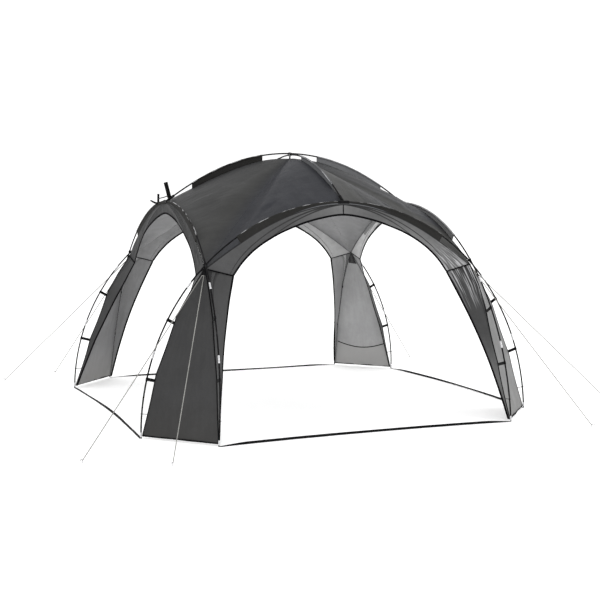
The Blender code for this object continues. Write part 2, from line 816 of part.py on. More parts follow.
def left_tapes():
    depth = Vector((1.0, 0.0, 0.0))
    up = Vector((0.0, 0.0, 1.0))
    stand = ARCH_PLANE - ARCH_LEAN * ARCH_TOP + arch_step(3) - PEAK_TAB_FROM_ARCH
    slope = 2.0 * RIDGE_SAG * stand
    wall = (SOCKET_IN + SOCKET_OUT) / 2.0 * math.cos(math.pi / SIDES) * math.hypot(1.0, slope)
    base = turned(3, 0.0, -stand, ridge_height(stand, ridge_lift(3)) + wall)
    tip = base + up * PEAK_TAB[0] + depth * PEAK_TAB_LEAN
    join(bpy.data.objects["peak_hub_left"], tape(base, tip, depth, PEAK_TAB, slope))
    near = arch_frame(3, STATIONS[PEAK + 1])
    far = arch_frame(3, STATIONS[PEAK + 2])
    centre, tangent, out, inward = [a.lerp(b, 0.5) for a, b in zip(near, far)]
    rim = (SLEEVE_IN + SLEEVE_OUT) / 2.0
    sleeve = bpy.data.objects["arch_sleeve_left"]
    join(sleeve, tape(centre - inward * rim, centre - inward * (rim + TAPE_POST[0]), tangent, TAPE_POST))
    reach = centre + out * rim
    join(sleeve, tape(reach, reach + out * TAPE_HOOK[0] + up * TAPE_HOOK_RISE, tangent, TAPE_HOOK))


left_tapes()


# Crown tie round the crossing of the ridge poles
def band_ring(centre, right, up, axis, inner, outer, width, sides=8):
    """Octagonal loop of webbing about an axis."""
    bm = bmesh.new()
    loops = []
    for radius, shift in ((inner, -0.5), (outer, -0.5), (outer, 0.5), (inner, 0.5)):
        loops.append([bm.verts.new(centre + right * (radius * math.cos(a)) + up * (radius * math.sin(a))
                                   + axis * (shift * width)) for a in circle(sides)])
    for a, b in zip(loops, loops[1:] + loops[:1]):
        for i in range(sides):
            j = (i + 1) % sides
            bm.faces.new((a[i], a[j], b[j], b[i]))
    return bm


def block(centre, right, up, axis, size):
    bm = bmesh.new()
    rings = []
    for c in (-0.5, 0.5):
        rings.append([centre + right * (size[0] * a) + up * (size[1] * b) + axis * (size[2] * c)
                      for a, b in ((-0.5, -0.5), (0.5, -0.5), (0.5, 0.5), (-0.5, 0.5))])
    sweep(bm, rings)
    return finish("block_helper", bm, WEBBING_MAT)


def crown_tie():
    centre = Vector((0.0, 0.0, RIDGE_TOP))
    diagonal = Vector((1.0, 1.0, 0.0)).normalized()
    right = Vector((-1.0, 1.0, 0.0)).normalized()
    up = Vector((0.0, 0.0, 1.0))
    scale = 1.0 / math.cos(math.pi / 8.0)
    bm = band_ring(centre, right, up, diagonal, CROWN_TIE_IN * scale, CROWN_TIE_OUT * scale, CROWN_TIE_WIDTH)
    tie = finish("crown_tie", bm, WEBBING_MAT)
    foot = RIDGE_TOP - RIDGE_DROPS[0] + CLOTH / 2.0 * 1.7
    head = RIDGE_TOP - CROWN_TIE_IN - 0.001
    join(tie, block(Vector((0.0, 0.0, (foot + head) / 2.0)), right, up, diagonal, (0.006, head - foot, 0.009)))
    return tie


crown_tie()


# Corner ties: a loop round the pole crossing and the patch that takes the guys
CROSS_UP = Vector((-0.41, -0.41, 0.81)).normalized()


def crossing_centre():
    """Middle of the shortest line between two crossing arch poles, in the first quadrant."""
    p, u = arch_frame(1, NODE_ANGLE)[:2]
    q, v = arch_frame(2, math.pi - NODE_ANGLE)[:2]
    gap = p - q
    b = u.dot(v)
    s = (b * v.dot(gap) - u.dot(gap)) / (1.0 - b * b)
    t = (v.dot(gap) - b * u.dot(gap)) / (1.0 - b * b)
    return ((p + u * s) + (q + v * t)) / 2.0


CROSSING = crossing_centre()


def corner_tie(name, sx, sy):
    centre = mirrored(sx, sy, CROSSING)
    axis = mirrored(sx, sy, CROSS_UP)
    right = Vector((-sy, sx, 0.0)).normalized()
    normal = axis.cross(right).normalized()
    if normal.z < 0.0:
        normal = -normal
    scale = 1.0 / math.cos(math.pi / 8.0)
    bm = band_ring(centre, right, normal, axis, CORNER_TIE_IN * scale, CORNER_TIE_OUT * scale, CORNER_TIE_WIDTH)
    tie = finish("corner_tie_" + name, bm, WEBBING_MAT)
    top_mid = mirrored(sx, sy, LEG_GRID[-1][4])
    low_mid = mirrored(sx, sy, LEG_GRID[-2][4])
    down = (low_mid - top_mid).normalized()
    right = (mirrored(sx, sy, LEG_GRID[-2][6]) - mirrored(sx, sy, LEG_GRID[-2][2])).normalized()
    face = right.cross(down).normalized()
    down = face.cross(right).normalized()
    if down.z > 0.0:
        down = -down
    if face.z < 0.0:
        face = -face
    ring_lift = (centre - top_mid).dot(face) - CORNER_TIE_OUT - 0.0008
    outline = ((-0.036, 0.006, ring_lift), (0.001, 0.008, 0.0056), (0.02, 0.012, 0.001),
               (PATCH_LENGTH, PATCH_HALF_WIDTH, 2.0 * GAP))
    rings = []
    aside = (centre - top_mid).dot(right)
    for depth, half, lift in outline:
        base = top_mid + down * depth
        if depth < 0.0:
            base += right * aside
        rings.append([base + right * (half * a) + face * (lift + b)
                      for a, b in ((-1, 0.0), (1, 0.0), (1, PATCH_THICK), (-1, PATCH_THICK))])
    bm = bmesh.new()
    sweep(bm, rings)
    join(tie, finish("patch_helper", bm, WEBBING_MAT))
    return top_mid + down * PATCH_LENGTH + face * PATCH_THICK


APEX = {}
for corner_name, sign_x, sign_y in CORNERS:
    APEX[corner_name] = corner_tie(corner_name, sign_x, sign_y)


# Guy lines: one cord doubled through the patch, down to two pegs
def tube(bm, points, radius, sides=6):
    rings = []
    for i, p in enumerate(points):
        before = points[max(i - 1, 0)]
        after = points[min(i + 1, len(points) - 1)]
        if i in (0, len(points) - 1):
            direction = (after - before).normalized()
        else:
            direction = ((p - before).normalized() + (after - p).normalized()).normalized()
        side = direction.cross(Vector((0.0, 0.0, 1.0)))
        side = side.normalized() if side.length > 1e-4 else Vector((1.0, 0.0, 0.0))
        lift = side.cross(direction).normalized()
        rings.append([p + side * (radius * math.cos(a)) + lift * (radius * math.sin(a)) for a in circle(sides)])
    sweep(bm, rings)


def guy_lines(name, sx, sy):
    outward = Vector((sx, sy, 0.0)).normalized()
    right = Vector((-sy, sx, 0.0)).normalized()
    pegs = [Vector((sx * x, sy * y, GUY_LOW)) for x, y in (PEG_SIDE, PEG_END)]
    if (pegs[0] - pegs[1]).dot(right) < 0.0:
        pegs.reverse()
    start = APEX[name] + outward * GUY_FROM_PATCH - Vector((0.0, 0.0, GUY_FROM_PATCH))
    arc = [start + right * (GUY_BEND * math.cos(a)) - outward * (GUY_BEND * (math.sin(a) - 1.0) * 0.5)
           for a in (0.0, math.pi / 4.0, math.pi / 2.0, math.pi * 0.75, math.pi)]
    ends = []
    for peg, top in zip(pegs, (arc[0], arc[-1])):
        line = (top - peg).normalized()
        level = math.hypot(line.x, line.y)
        ends.append(peg + line * ((PEG_R + GUY_END + GUY_R * line.z) / level))
    bm = bmesh.new()
    tube(bm, [ends[0]] + arc + [ends[1]], GUY_R)
    return finish("guy_lines_" + name, bm, CORD_MAT)


def ground_peg(name, x, y):
    away = Vector((x, y, 0.0)).normalized()
    base = Vector((x, y, 0.0))
    up = Vector((0.0, 0.0, 1.0))
    path = [base, base + up * 0.022, base + up * PEG_HEIGHT + away * 0.005,
            base + up * PEG_HEIGHT + away * 0.018, base + up * 0.020 + away * 0.025]
    rings = []
    across = up.cross(away)
    for i, p in enumerate(path):
        before = path[max(i - 1, 0)]
        after = path[min(i + 1, len(path) - 1)]
        direction = (after - before).normalized()
        lift = across.cross(direction).normalized()
        rings.append([p + across * (PEG_R * math.cos(a)) + lift * (PEG_R * math.sin(a)) for a in circle(6)])
    bm = bmesh.new()
    sweep(bm, rings)
    return finish("ground_peg_" + name, bm, STEEL_MAT, True)


for corner_name, sign_x, sign_y in CORNERS:
    guy_lines(corner_name, sign_x, sign_y)
    ground_peg(corner_name + "_side", sign_x * PEG_SIDE[0], sign_y * PEG_SIDE[1])
    ground_peg(corner_name + "_end", sign_x * PEG_END[0], sign_y * PEG_END[1])
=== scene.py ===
"""Garden gazebo: a dome of cloth on four crossing arch poles and two ridge poles, held down by guys.

Metres, +Z up, the front opening toward -Y.
"""
import math

import bmesh
import bpy
import numpy as np
from mathutils import Matrix, Vector, noise


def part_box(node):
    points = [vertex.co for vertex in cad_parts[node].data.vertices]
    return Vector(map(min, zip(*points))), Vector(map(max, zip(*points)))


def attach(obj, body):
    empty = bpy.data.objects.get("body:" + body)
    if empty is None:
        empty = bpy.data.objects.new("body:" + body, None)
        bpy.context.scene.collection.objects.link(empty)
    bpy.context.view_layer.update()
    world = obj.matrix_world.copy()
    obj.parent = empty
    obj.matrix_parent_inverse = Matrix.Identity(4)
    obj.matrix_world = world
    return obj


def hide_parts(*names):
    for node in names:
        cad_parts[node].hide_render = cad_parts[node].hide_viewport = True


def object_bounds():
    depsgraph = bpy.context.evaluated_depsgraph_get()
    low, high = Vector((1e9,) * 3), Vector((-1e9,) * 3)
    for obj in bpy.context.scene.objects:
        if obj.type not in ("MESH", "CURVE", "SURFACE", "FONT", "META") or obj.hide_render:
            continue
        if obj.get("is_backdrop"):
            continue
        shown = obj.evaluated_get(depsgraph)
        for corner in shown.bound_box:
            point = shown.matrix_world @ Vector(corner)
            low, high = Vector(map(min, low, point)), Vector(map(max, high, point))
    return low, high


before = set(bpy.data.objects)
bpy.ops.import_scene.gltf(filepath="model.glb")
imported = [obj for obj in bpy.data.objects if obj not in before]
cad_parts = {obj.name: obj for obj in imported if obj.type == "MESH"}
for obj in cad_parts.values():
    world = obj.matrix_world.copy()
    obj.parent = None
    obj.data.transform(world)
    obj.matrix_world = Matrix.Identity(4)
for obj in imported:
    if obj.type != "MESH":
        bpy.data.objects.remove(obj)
packed_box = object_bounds()


# Arch poles
# Four shock-corded fibreglass poles bent into arches, each in its own leaning plane.
# The sections are black, coated and slightly worn, and meet in bright steel ferrules;
# a pale pin at each foot goes into the eyelet of the ground strap.
side_names = ("front", "right", "back", "left")
corners = {"front_left": (-1, -1), "front_right": (1, -1), "back_right": (1, 1), "back_left": (-1, 1)}
pole_radius = 0.0065
ferrule_radius, ferrule_half = 0.008, 0.03
ferrule_heights = (0.64, 1.17)
foot_radius, foot_height = 0.0075, 0.05
eight_sided = math.cos(math.pi / 8)
front_pole, right_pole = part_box("arch_pole_front"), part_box("arch_pole_right")
half_span = front_pole[1].x - foot_radius * eight_sided
arch_top = front_pole[1].z - pole_radius * eight_sided
front_depth = -front_pole[0].y - foot_radius * eight_sided
right_depth = right_pole[1].x - foot_radius * eight_sided
arch_plane = (front_depth + right_depth) / 2
arch_step = (right_depth - front_depth) / 2
arch_lean = (front_depth + front_pole[1].y - pole_radius * eight_sided) / arch_top


def turned(side):
    return Matrix.Rotation(side * math.pi / 2, 3, "Z")


def stepped(side):
    return arch_step if side % 2 else -arch_step


def facing(side):
    """Direction out of the plane that one arch stands in."""
    return turned(side) @ Vector((0, -1, arch_lean)).normalized()


def in_plane(side, along, height, out=0.0):
    """Point in the plane of one arch, from its place along the ground and its height."""
    depth = arch_plane - arch_lean * height + stepped(side)
    return turned(side) @ Vector((along, -depth, height)) + facing(side) * out


def on_arch(angle):
    return Vector((half_span * math.cos(angle), arch_top * math.sin(angle)))


def angle_at(height):
    return math.asin(height / arch_top)


def stretch_of_arch(side, start, end, count):
    return [in_plane(side, *on_arch(start + (end - start) * i / count)) for i in range(count + 1)]


def arch_length(start, end):
    spots = [on_arch(start + (end - start) * i / 60) for i in range(61)]
    return sum((b - a).length for a, b in zip(spots, spots[1:]))


def crossing_angle():
    """Angle on an arch at which it meets its neighbour above the corner."""
    low, high = 0.3, 1.4
    for _ in range(50):
        middle = (low + high) / 2
        spot = on_arch(middle)
        if spot.x > arch_plane - arch_lean * spot.y:
            low = middle
        else:
            high = middle
    return low


node_angle = crossing_angle()
node_height = on_arch(node_angle).y


def draw_out(bm, path, faces, sizes, sides=16, boxed=1.0):
    """Draw a closed section out along a path and lay the piece's own map round and along it.
    faces and sizes hold one value for the whole path, or a list with one for each point."""
    stops = []
    for i, spot in enumerate(path):
        along = (path[min(i + 1, len(path) - 1)] - path[max(i - 1, 0)]).normalized()
        face = faces[i] if isinstance(faces, list) else faces
        face = (face - along * face.dot(along)).normalized()
        size = sizes[i] if isinstance(sizes, list) else sizes
        wide, thick = size if isinstance(size, tuple) else (size, size)
        stop = Matrix((face.cross(along) * wide, face * thick, along)).transposed().to_4x4()
        stop.translation = spot
        stops.append(stop)
    verts = bmesh.ops.create_circle(bm, cap_ends=True, segments=sides, radius=1.0)["verts"]
    for vert in verts:
        vert.co = [math.copysign(abs(c) ** boxed, c) for c in vert.co]
    edges = list({edge for vert in verts for edge in vert.link_edges})
    spots, run = {}, 0.0
    bmesh.ops.transform(bm, matrix=stops[0], verts=verts)
    for before, after in zip([None] + stops[:-1], stops):
        if before is not None:
            drawn_part = bmesh.ops.extrude_edge_only(bm, edges=edges)["geom"]
            verts = [part for part in drawn_part if isinstance(part, bmesh.types.BMVert)]
            fresh = set(verts)
            edges = [part for part in drawn_part if isinstance(part, bmesh.types.BMEdge) and set(part.verts) <= fresh]
            bmesh.ops.transform(bm, matrix=after @ before.inverted(), verts=verts)
            run += (after.translation - before.translation).length
        back = after.inverted()
        for vert in verts:
            local = back @ vert.co
            spots[vert] = (math.atan2(local.y, local.x) / (2 * math.pi) % 1.0, run)
    bmesh.ops.edgeloop_fill(bm, edges=edges)
    layer = bm.loops.layers.uv.verify()
    for face in {face for vert in spots for face in vert.link_faces}:
        turns = [spots[vert][0] for vert in face.verts]
        wraps = max(turns) - min(turns) > 0.5
        for loop in face.loops:
            turn, place = spots[loop.vert]
            loop[layer].uv = (turn + (1.0 if wraps and turn < 0.5 else 0.0), place)


def set_up(name, data):
    thing = bpy.data.objects.new(name, data)
    bpy.context.scene.collection.objects.link(thing)
    return thing


def placed(name, bm, finishes, nodes):
    """Turn a mesh into a piece with its finish, and hang it on the frame in place of its nodes."""
    mesh = bpy.data.meshes.new(name)
    bm.to_mesh(mesh)
    bm.free()
    for finish in finishes:
        mesh.materials.append(finish)
    for polygon in mesh.polygons:
        polygon.use_smooth = True
    piece = set_up(name, mesh)
    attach(piece, "root")
    if nodes:
        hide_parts(*nodes)
    return piece


def made(name, bm, finishes, slot, *nodes):
    """Close a piece and place it: weld it and face it outward."""
    bmesh.ops.remove_doubles(bm, verts=bm.verts, dist=0.00001)
    bmesh.ops.recalc_face_normals(bm, faces=bm.faces)
    return placed(name, bm, finishes, nodes)


def drawn(name, path, faces, sizes, finish, slot, *nodes, sides=12, boxed=0.5):
    """A piece that is one section drawn out along a path."""
    bm = bmesh.new()
    draw_out(bm, path, faces, sizes, sides, boxed)
    return made(name, bm, [finish], slot, *nodes)


def tinted(colour, share):
    return tuple(c * share for c in colour)


class Finish:
    """A material that is built up node by node, with its constants on the shader's own sockets."""

    def __init__(self, name, colour, roughness, metallic=0.0, **more):
        self.material = bpy.data.materials.new(name)
        self.material.use_nodes = True
        self.tree = self.material.node_tree
        self.shader = self.tree.nodes["Principled BSDF"]
        more.update({"Base Color": (*colour, 1), "Roughness": roughness, "Metallic": metallic})
        for key, value in more.items():
            self.shader.inputs[key].default_value = value

    def add(self, kind, inputs, **settings):
        """Add a node, and fill or join its inputs."""
        node = self.tree.nodes.new(kind)
        for key, value in settings.items():
            setattr(node, key, value)
        for key, value in inputs.items():
            if isinstance(value, bpy.types.NodeSocket):
                self.tree.links.new(value, node.inputs[key])
            else:
                node.inputs[key].default_value = value
        return node

    def maths(self, operation, *values):
        return self.add("ShaderNodeMath", dict(enumerate(values)), operation=operation).outputs[0]

    def ranged(self, value, low, high, start=0.0, end=1.0):
        inputs = {"Value": value, "From Min": low, "From Max": high, "To Min": start, "To Max": end}
        return self.add("ShaderNodeMapRange", inputs).outputs[0]

    def mixed(self, share, under, over):
        over = over if isinstance(over, bpy.types.NodeSocket) else (*over, 1)
        return self.add("ShaderNodeMix", {0: share, 6: under, 7: over}, data_type="RGBA").outputs[2]

    def marked(self, name):
        """What the piece's own points say, such as how far they are from a seam."""
        return self.add("ShaderNodeAttribute", {}, attribute_name=name).outputs["Fac"]

    def spots(self, scale, on_map=None):
        """Coordinates in metres times a scale, from the object or, stretched so, from the piece's own map."""
        where = self.add("ShaderNodeTexCoord", {}).outputs["UV" if on_map else "Object"]
        sized = [scale * s for s in on_map or (1, 1, 1)]
        return self.add("ShaderNodeMapping", {"Vector": where, "Scale": sized}).outputs[0]

    def speckle(self, scale, detail, rough=0.55, on_map=None):
        """Soft uneven spots, so many to the metre."""
        inputs = {"Vector": self.spots(scale, on_map), "Scale": 1.0, "Detail": detail, "Roughness": rough}
        return self.add("ShaderNodeTexNoise", inputs).outputs["Fac"]

    def bands(self, scale, axis):
        """Rounded bands across one axis of the piece's own map, so many to the metre."""
        inputs = {"Vector": self.spots(scale / 3.1416, (1, 1, 1)), "Scale": 0.5}
        return self.add("ShaderNodeTexWave", inputs, bands_direction=axis).outputs["Fac"]

    def ramp(self, factor, stops):
        node = self.add("ShaderNodeValToRGB", {"Fac": factor})
        elements = node.color_ramp.elements
        while len(elements) < len(stops):
            elements.new(0.5)
        for element, (place, colour) in zip(elements, stops):
            element.position = place
            element.color = (*colour, 1)
        return node.outputs["Color"]

    def mottled(self, factor, colour, low, middle, high):
        """Uneven shades of one colour: a place and a share of it, the place of the colour itself, the same again."""
        ends = [(place, tinted(colour, share)) for place, share in (low, high)]
        return self.ramp(factor, [ends[0], (middle, colour), ends[1]])

    def sum(self, *parts):
        """Add scaled heights up: pairs of a socket and its weight."""
        total = 0.0
        for socket, weight in parts:
            total = self.maths("MULTIPLY_ADD", socket, weight, total)
        return total

    def join(self, socket, name):
        self.tree.links.new(socket, self.shader.inputs[name])

    def paint(self, socket):
        self.join(socket, "Base Color")

    def gloss(self, factor, low, high):
        self.join(self.ranged(factor, 0.0, 1.0, low, high), "Roughness")

    def relief(self, height, depth, strength=1.0):
        """Raise the surface by a height between 0 and 1 that is worth so many metres."""
        inputs = {"Height": height, "Distance": depth, "Strength": strength}
        self.join(self.add("ShaderNodeBump", inputs).outputs[0], "Normal")


def pole_coating():
    """Black coating with a fine drawn grain along the pole, rubbed paler in places."""
    black = (0.006, 0.006, 0.0065)
    finish = Finish("pole_coating", black, 0.4, **{"Specular IOR Level": 0.06})
    rub = finish.speckle(26.0, 5.0, 0.7)
    finish.paint(finish.ramp(rub, [(0.3, tinted(black, 0.7)), (0.55, black), (0.8, (0.05, 0.05, 0.052))]))
    grain = finish.speckle(60.0, 2.0, 0.5, (0.6, 1.0, 1.0))
    finish.gloss(rub, 0.35, 0.55)
    finish.relief(finish.sum((grain, 0.7), (rub, 0.3)), 0.0003, 0.5)
    return finish.material


def ferrule_steel():
    """Bright plated tube with turned lines round it and a little tarnish."""
    finish = Finish("ferrule_steel", (0.62, 0.62, 0.63), 0.28, 0.95)
    dull = finish.speckle(70.0, 4.0, 0.65)
    finish.paint(finish.ramp(dull, [(0.35, (0.42, 0.42, 0.43)), (0.6, (0.72, 0.72, 0.73))]))
    finish.gloss(dull, 0.18, 0.4)
    finish.relief(finish.bands(2200.0, "Y"), 0.00008, 0.4)
    return finish.material


pole_finish, steel_finish = pole_coating(), ferrule_steel()
for k, side_name in enumerate(side_names):
    bm = bmesh.new()
    path = stretch_of_arch(k, 0.0, math.pi, 150)
    path[0].z = path[-1].z = 0.004
    draw_out(bm, path, facing(k), pole_radius)
    pole_faces = len(bm.faces)
    lip, tube = ferrule_radius * 0.93, ferrule_radius * 0.99
    for height in ferrule_heights:
        for mark in (angle_at(height), math.pi - angle_at(height)):
            reach = ferrule_half / (arch_length(mark - 0.01, mark + 0.01) / 0.02)
            path = stretch_of_arch(k, mark - reach, mark + reach, 8)
            draw_out(bm, path, facing(k), [lip, ferrule_radius] + [tube] * 5 + [ferrule_radius, lip])
    rise = angle_at(foot_height)
    for foot, top in ((0.0, rise), (math.pi, math.pi - rise)):
        path = stretch_of_arch(k, foot, top, 5)
        path[0].z = 0.0006
        draw_out(bm, path, facing(k), [foot_radius * share for share in (0.55, 0.85, 0.95, 1.0, 1.0, 0.9)])
    bm.faces.ensure_lookup_table()
    for face in bm.faces[pole_faces:]:
        face.material_index = 1
    made("bent_pole_" + side_name, bm, [pole_finish, steel_finish], "pole", "arch_pole_" + side_name)


# Ridge poles
# Two poles of the same tube that bow over the dome, from hub to hub, and cross at the crown.
# One passes over the other there, and a tie underneath holds both to the cloth.
across_pole, along_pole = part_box("ridge_pole_across"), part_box("ridge_pole_along")
across_top, along_top = (pole[1].z - pole_radius * eight_sided for pole in (across_pole, along_pole))
crown_top = (across_top + along_top) / 2
ridge_ends = (along_pole[1].y, across_pole[1].x)
ridge_sag = (across_top - across_pole[0].z - pole_radius * eight_sided * 1.2) / ridge_ends[1]**2


def ridge_height(distance):
    return crown_top - ridge_sag * distance * distance


def ridge_spot(side, distance):
    lift = (across_top - crown_top) * (1 if side % 2 else -1)
    return turned(side) @ Vector((0, -distance, ridge_height(distance) + lift))


def sideways(side):
    return turned(side) @ Vector((1, 0, 0))


for k, pole_name in ((1, "ridge_pole_across"), (0, "ridge_pole_along")):
    path = [ridge_spot(k, ridge_ends[k] * (i / 40 - 1)) for i in range(81)]
    drawn("bowed_" + pole_name, path, sideways(k), pole_radius, pole_finish, "pole", pole_name, sides=16, boxed=1.0)


# Roof cloth
# One sheet of coated polyester sewn from four gores, from the crown to the seams of the arches.
# It hangs two to five centimetres below the poles, is creased along its diagonals by the pull of the corners,
# and is dark outside with a paler, thinner coating inside.
cloth_thick = 0.0022
solid_cloth, seam_gap = 0.003, 0.0003
ridge_stations = (0.0, 0.12, 0.27, 0.43, 0.60, 0.77, 0.94, 1.05)
ridge_drops = (0.041, 0.040, 0.041, 0.048, 0.055, 0.053, 0.043, 0.032)
arch_drops = (0.018, 0.022, 0.029, 0.038, 0.047, 0.053, 0.055, 0.045)
corner_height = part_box("roof_panel_front_left")[0].z
crease_bulge, crease_round = 0.045, 0.5


def clamped(value):
    return min(1.0, max(0.0, value))


def through(knots, spot):
    """Smooth curve through evenly counted knots; the first knot is the middle of a mirrored curve."""
    low = min(int(spot), len(knots) - 2)
    t = spot - low
    before = knots[low - 1] if low else Vector((-knots[1][0], *knots[1][1:]))
    after = knots[low + 2] if low + 2 < len(knots) else knots[-1] * 2 - knots[-2]
    a, b = knots[low], knots[low + 1]
    bend = a * 3 - before - b * 3 + after
    return 0.5 * (a * 2 + (b - before) * t + (before * 2 - a * 5 + b * 4 - after) * t * t + bend * t**3)


def shares_along(spots):
    """How far along a curve each of its spots lies, as a share of its length."""
    run = np.concatenate([[0], np.cumsum([(b - a).length for a, b in zip(spots, spots[1:])])])
    return run / run[-1]


peak_angles = np.linspace(math.pi / 2, node_angle, 400)
peak_shares = shares_along([on_arch(angle) for angle in peak_angles])


def angle_from_peak(share):
    """Angle at a share of the arch's length from its peak down to the pole crossing."""
    return float(np.interp(share, peak_shares, peak_angles))


def inward_at(angle):
    """Direction in the plane of the arch that points at right angles into the arch."""
    return -Vector((math.cos(angle) / half_span, math.sin(angle) / arch_top)).normalized()


def seam_knots(side):
    """Seam between roof and arch band, from the peak to the corner, in the plane of the arch."""
    knots = []
    for i, drop in enumerate(arch_drops):
        angle = angle_from_peak(i / 8)
        knots.append(on_arch(angle) + inward_at(angle) * drop)
    base = arch_plane - arch_lean * corner_height
    edge = arch_step - solid_cloth / 2 - seam_gap if side % 2 == 0 else solid_cloth / 2 - arch_step
    return knots + [Vector((base + edge, corner_height))]


seams = [seam_knots(side) for side in (0, 1)]


def seam_spot(side, share):
    return through(seams[side % 2], abs(share) * 8)


def roof_reach(side, height):
    """How far from the middle the roof ends under one arch."""
    return arch_plane - arch_lean * height + stepped(side) - solid_cloth / 2 - seam_gap


def roof_ridge(side, distance):
    last = seam_spot(side, 0.0)
    reach = roof_reach(side, last.y)
    s = distance * reach
    drops = ridge_drops + (ridge_height(reach) - last.y,)
    places = np.array(ridge_stations + (reach,))
    slopes = np.gradient(np.array(drops), places)
    slopes[0] = 0
    i = min(int(np.searchsorted(places, s, "right")) - 1, len(places) - 2)
    wide = places[i + 1] - places[i]
    t = (s - places[i]) / wide
    drop = (drops[i] * (1 + 2 * t) * (1 - t) ** 2 + slopes[i] * wide * t * (1 - t) ** 2
            + drops[i + 1] * t * t * (3 - 2 * t) - slopes[i + 1] * wide * t * t * (1 - t))
    return s, ridge_height(s) - drop


def roof_crease(share):
    crown = ridge_height(0) - ridge_drops[0]
    base = arch_plane - arch_lean * corner_height - solid_cloth / 2 - seam_gap
    z = crown + (corner_height - crown) * share + crease_bulge * math.sin(math.pi * share)
    return Vector(((base + arch_step) * share, (base - arch_step) * share, z))


def gore_spot(side, big, small):
    """Place on the gore of one arch: big runs from the crown to the arch, small away from the ridge."""
    share = small / big
    s, z = roof_ridge(side, big)
    far_s, far_z = roof_ridge(side, 1.0)
    edge = seam_spot(side, share)
    ridge, far, rim = Vector((s, 0, z)), Vector((far_s, 0, far_z)), Vector((roof_reach(side, edge.y), *edge))
    if side == 0:
        ridge, far, rim = (spot.yxz for spot in (ridge, far, rim))
    swell = rim - far.lerp(roof_crease(1.0), share)
    return ridge.lerp(roof_crease(big), share) + swell * big**1.2


def roof_spot(u, v):
    """Place of the cloth in the first quarter; the crease between two gores is rounded except at the corner."""
    big = max(u, v)
    if big < 1e-6:
        return Vector((0, 0, ridge_height(0) - ridge_drops[0]))
    soft = crease_round * big * min(1.0, 4 * (1 - big))
    if soft < 1e-6 or abs(u - v) > soft:
        return gore_spot(1, u, v) if u >= v else gore_spot(0, v, u)
    t = (u - v) / soft * 0.5 + 0.5
    return gore_spot(0, v, u).lerp(gore_spot(1, u, v), t * t * (3 - 2 * t))


def cloth_finish(name, colour, roughness, grain, pull=(0.25, 1, 1), other=(), low_tint=0.0, skirt=False,
                 highlight_streaks=None, shine=0.07):
    """Plain-woven coated polyester: fine threads, a crumpled coating, uneven tone and a felled seam
    with two rows of stitches wherever the piece's own seam distance is small; on the arch strips the
    same darkened line and stitches along the folds are painted shade. Pull lines run along the piece,
    other holds two more tones that the piece's mark for painted light and shade blends in, the low tint
    makes the cloth browner toward the ground and dark cloth paler there, skirt adds a seam near the ground,
    and the crease direction paints highlights along the creases that run so, where the piece marks them."""
    finish = Finish(name, colour, roughness,
                    **{"Sheen Weight": 0.02, "Sheen Roughness": 0.45, "Specular IOR Level": shine})
    broad = finish.speckle(2.6, 4.0, 0.6)
    fine = finish.speckle(48.0, 4.0, 0.6)
    crumple = finish.speckle(15.0, 5.0, 0.62)
    pulls = finish.speckle(24.0, 3.0, 0.55, pull)
    threads = finish.maths("MAXIMUM", finish.bands(900.0, "X"), finish.bands(900.0, "Y"))
    tone = finish.sum((broad, 0.48), (fine, 0.14), (crumple, 0.12), (pulls, 0.26))
    painted = finish.mottled(tone, colour, (0.3, 0.8), 0.5, (0.7, 1.22))
    # Painted light and shade: the piece's mark blends in the two tones of other, paler where light falls and darker
    # where shade falls.
    for start, shade in zip((0.0, 0.5), other):
        share = finish.ranged(finish.marked("painted_light"), start, start + 0.5)
        painted = finish.mixed(share, painted, finish.mottled(tone, shade, (0.3, 0.8), 0.5, (0.7, 1.22)))
    if low_tint:
        # Browner toward the ground, and paler on dark cloth.
        height = finish.add("ShaderNodeSeparateXYZ", {0: finish.spots(1.0)}).outputs["Z"]
        low = finish.ranged(finish.sum((height, 1.0), (fine, 0.12)), 0.05, 0.42, low_tint, 0.0)
        low_colour = (colour[0] * 0.9 + 0.03, colour[1] * 0.9 + 0.022, colour[2] * 0.9 + 0.008)
        painted = finish.mixed(low, painted, low_colour)
    # The darkened tape and stitches mark felled seams, and on the arch strips they are painted shade along the folds.
    seam = finish.marked("seam")
    tape = finish.ranged(seam, 0.007, 0.0095, 1.0, 0.0)
    row = finish.maths("COMPARE", seam, 0.0055, 0.0011)
    dash = finish.maths("FRACT", finish.maths("MULTIPLY", finish.marked("run"), 250.0))
    stitch = finish.maths("MULTIPLY", row, finish.maths("LESS_THAN", dash, 0.68))
    painted = finish.mixed(tape, painted, tinted(colour, 0.55))
    painted = finish.mixed(stitch, painted, tinted(colour, 1.5))
    if highlight_streaks:
        # Painted highlights: pale streaks along the creases, as strong as the piece's mark for them.
        painted_highlight = finish.ranged(finish.speckle(90.0, 2.0, 0.5, highlight_streaks), 0.5, 0.68)
        painted = finish.mixed(finish.maths("MULTIPLY", painted_highlight, finish.marked("wear_and_highlight")), painted, (0.45, 0.45, 0.46))
    if skirt:
        level = finish.marked("skirt")
        below = finish.maths("MULTIPLY", finish.maths("LESS_THAN", level, 0.0), 0.75)
        painted = finish.mixed(below, painted, (colour[0] * 1.12, colour[1] * 1.11, colour[2] * 1.085))
        painted = finish.mixed(finish.maths("COMPARE", level, 0.0, 0.0055), painted, (0.015, 0.015, 0.015))
    finish.paint(painted)
    finish.gloss(crumple, roughness - 0.1, roughness + 0.12)
    heights = ((crumple, grain), (pulls, grain * 1.4), (fine, 0.08), (threads, 0.03), (tape, 0.3), (stitch, 0.1))
    finish.relief(finish.sum(*heights), 0.0022)
    return finish.material


roof_outside = cloth_finish("roof_cloth_outside", (0.0325, 0.0337, 0.0392), 0.5, 0.9,
                            other=((0.053, 0.053, 0.0515), (0.11, 0.11, 0.11)))
roof_inside = cloth_finish("roof_cloth_inside", (0.225, 0.225, 0.227), 0.65, 0.5)


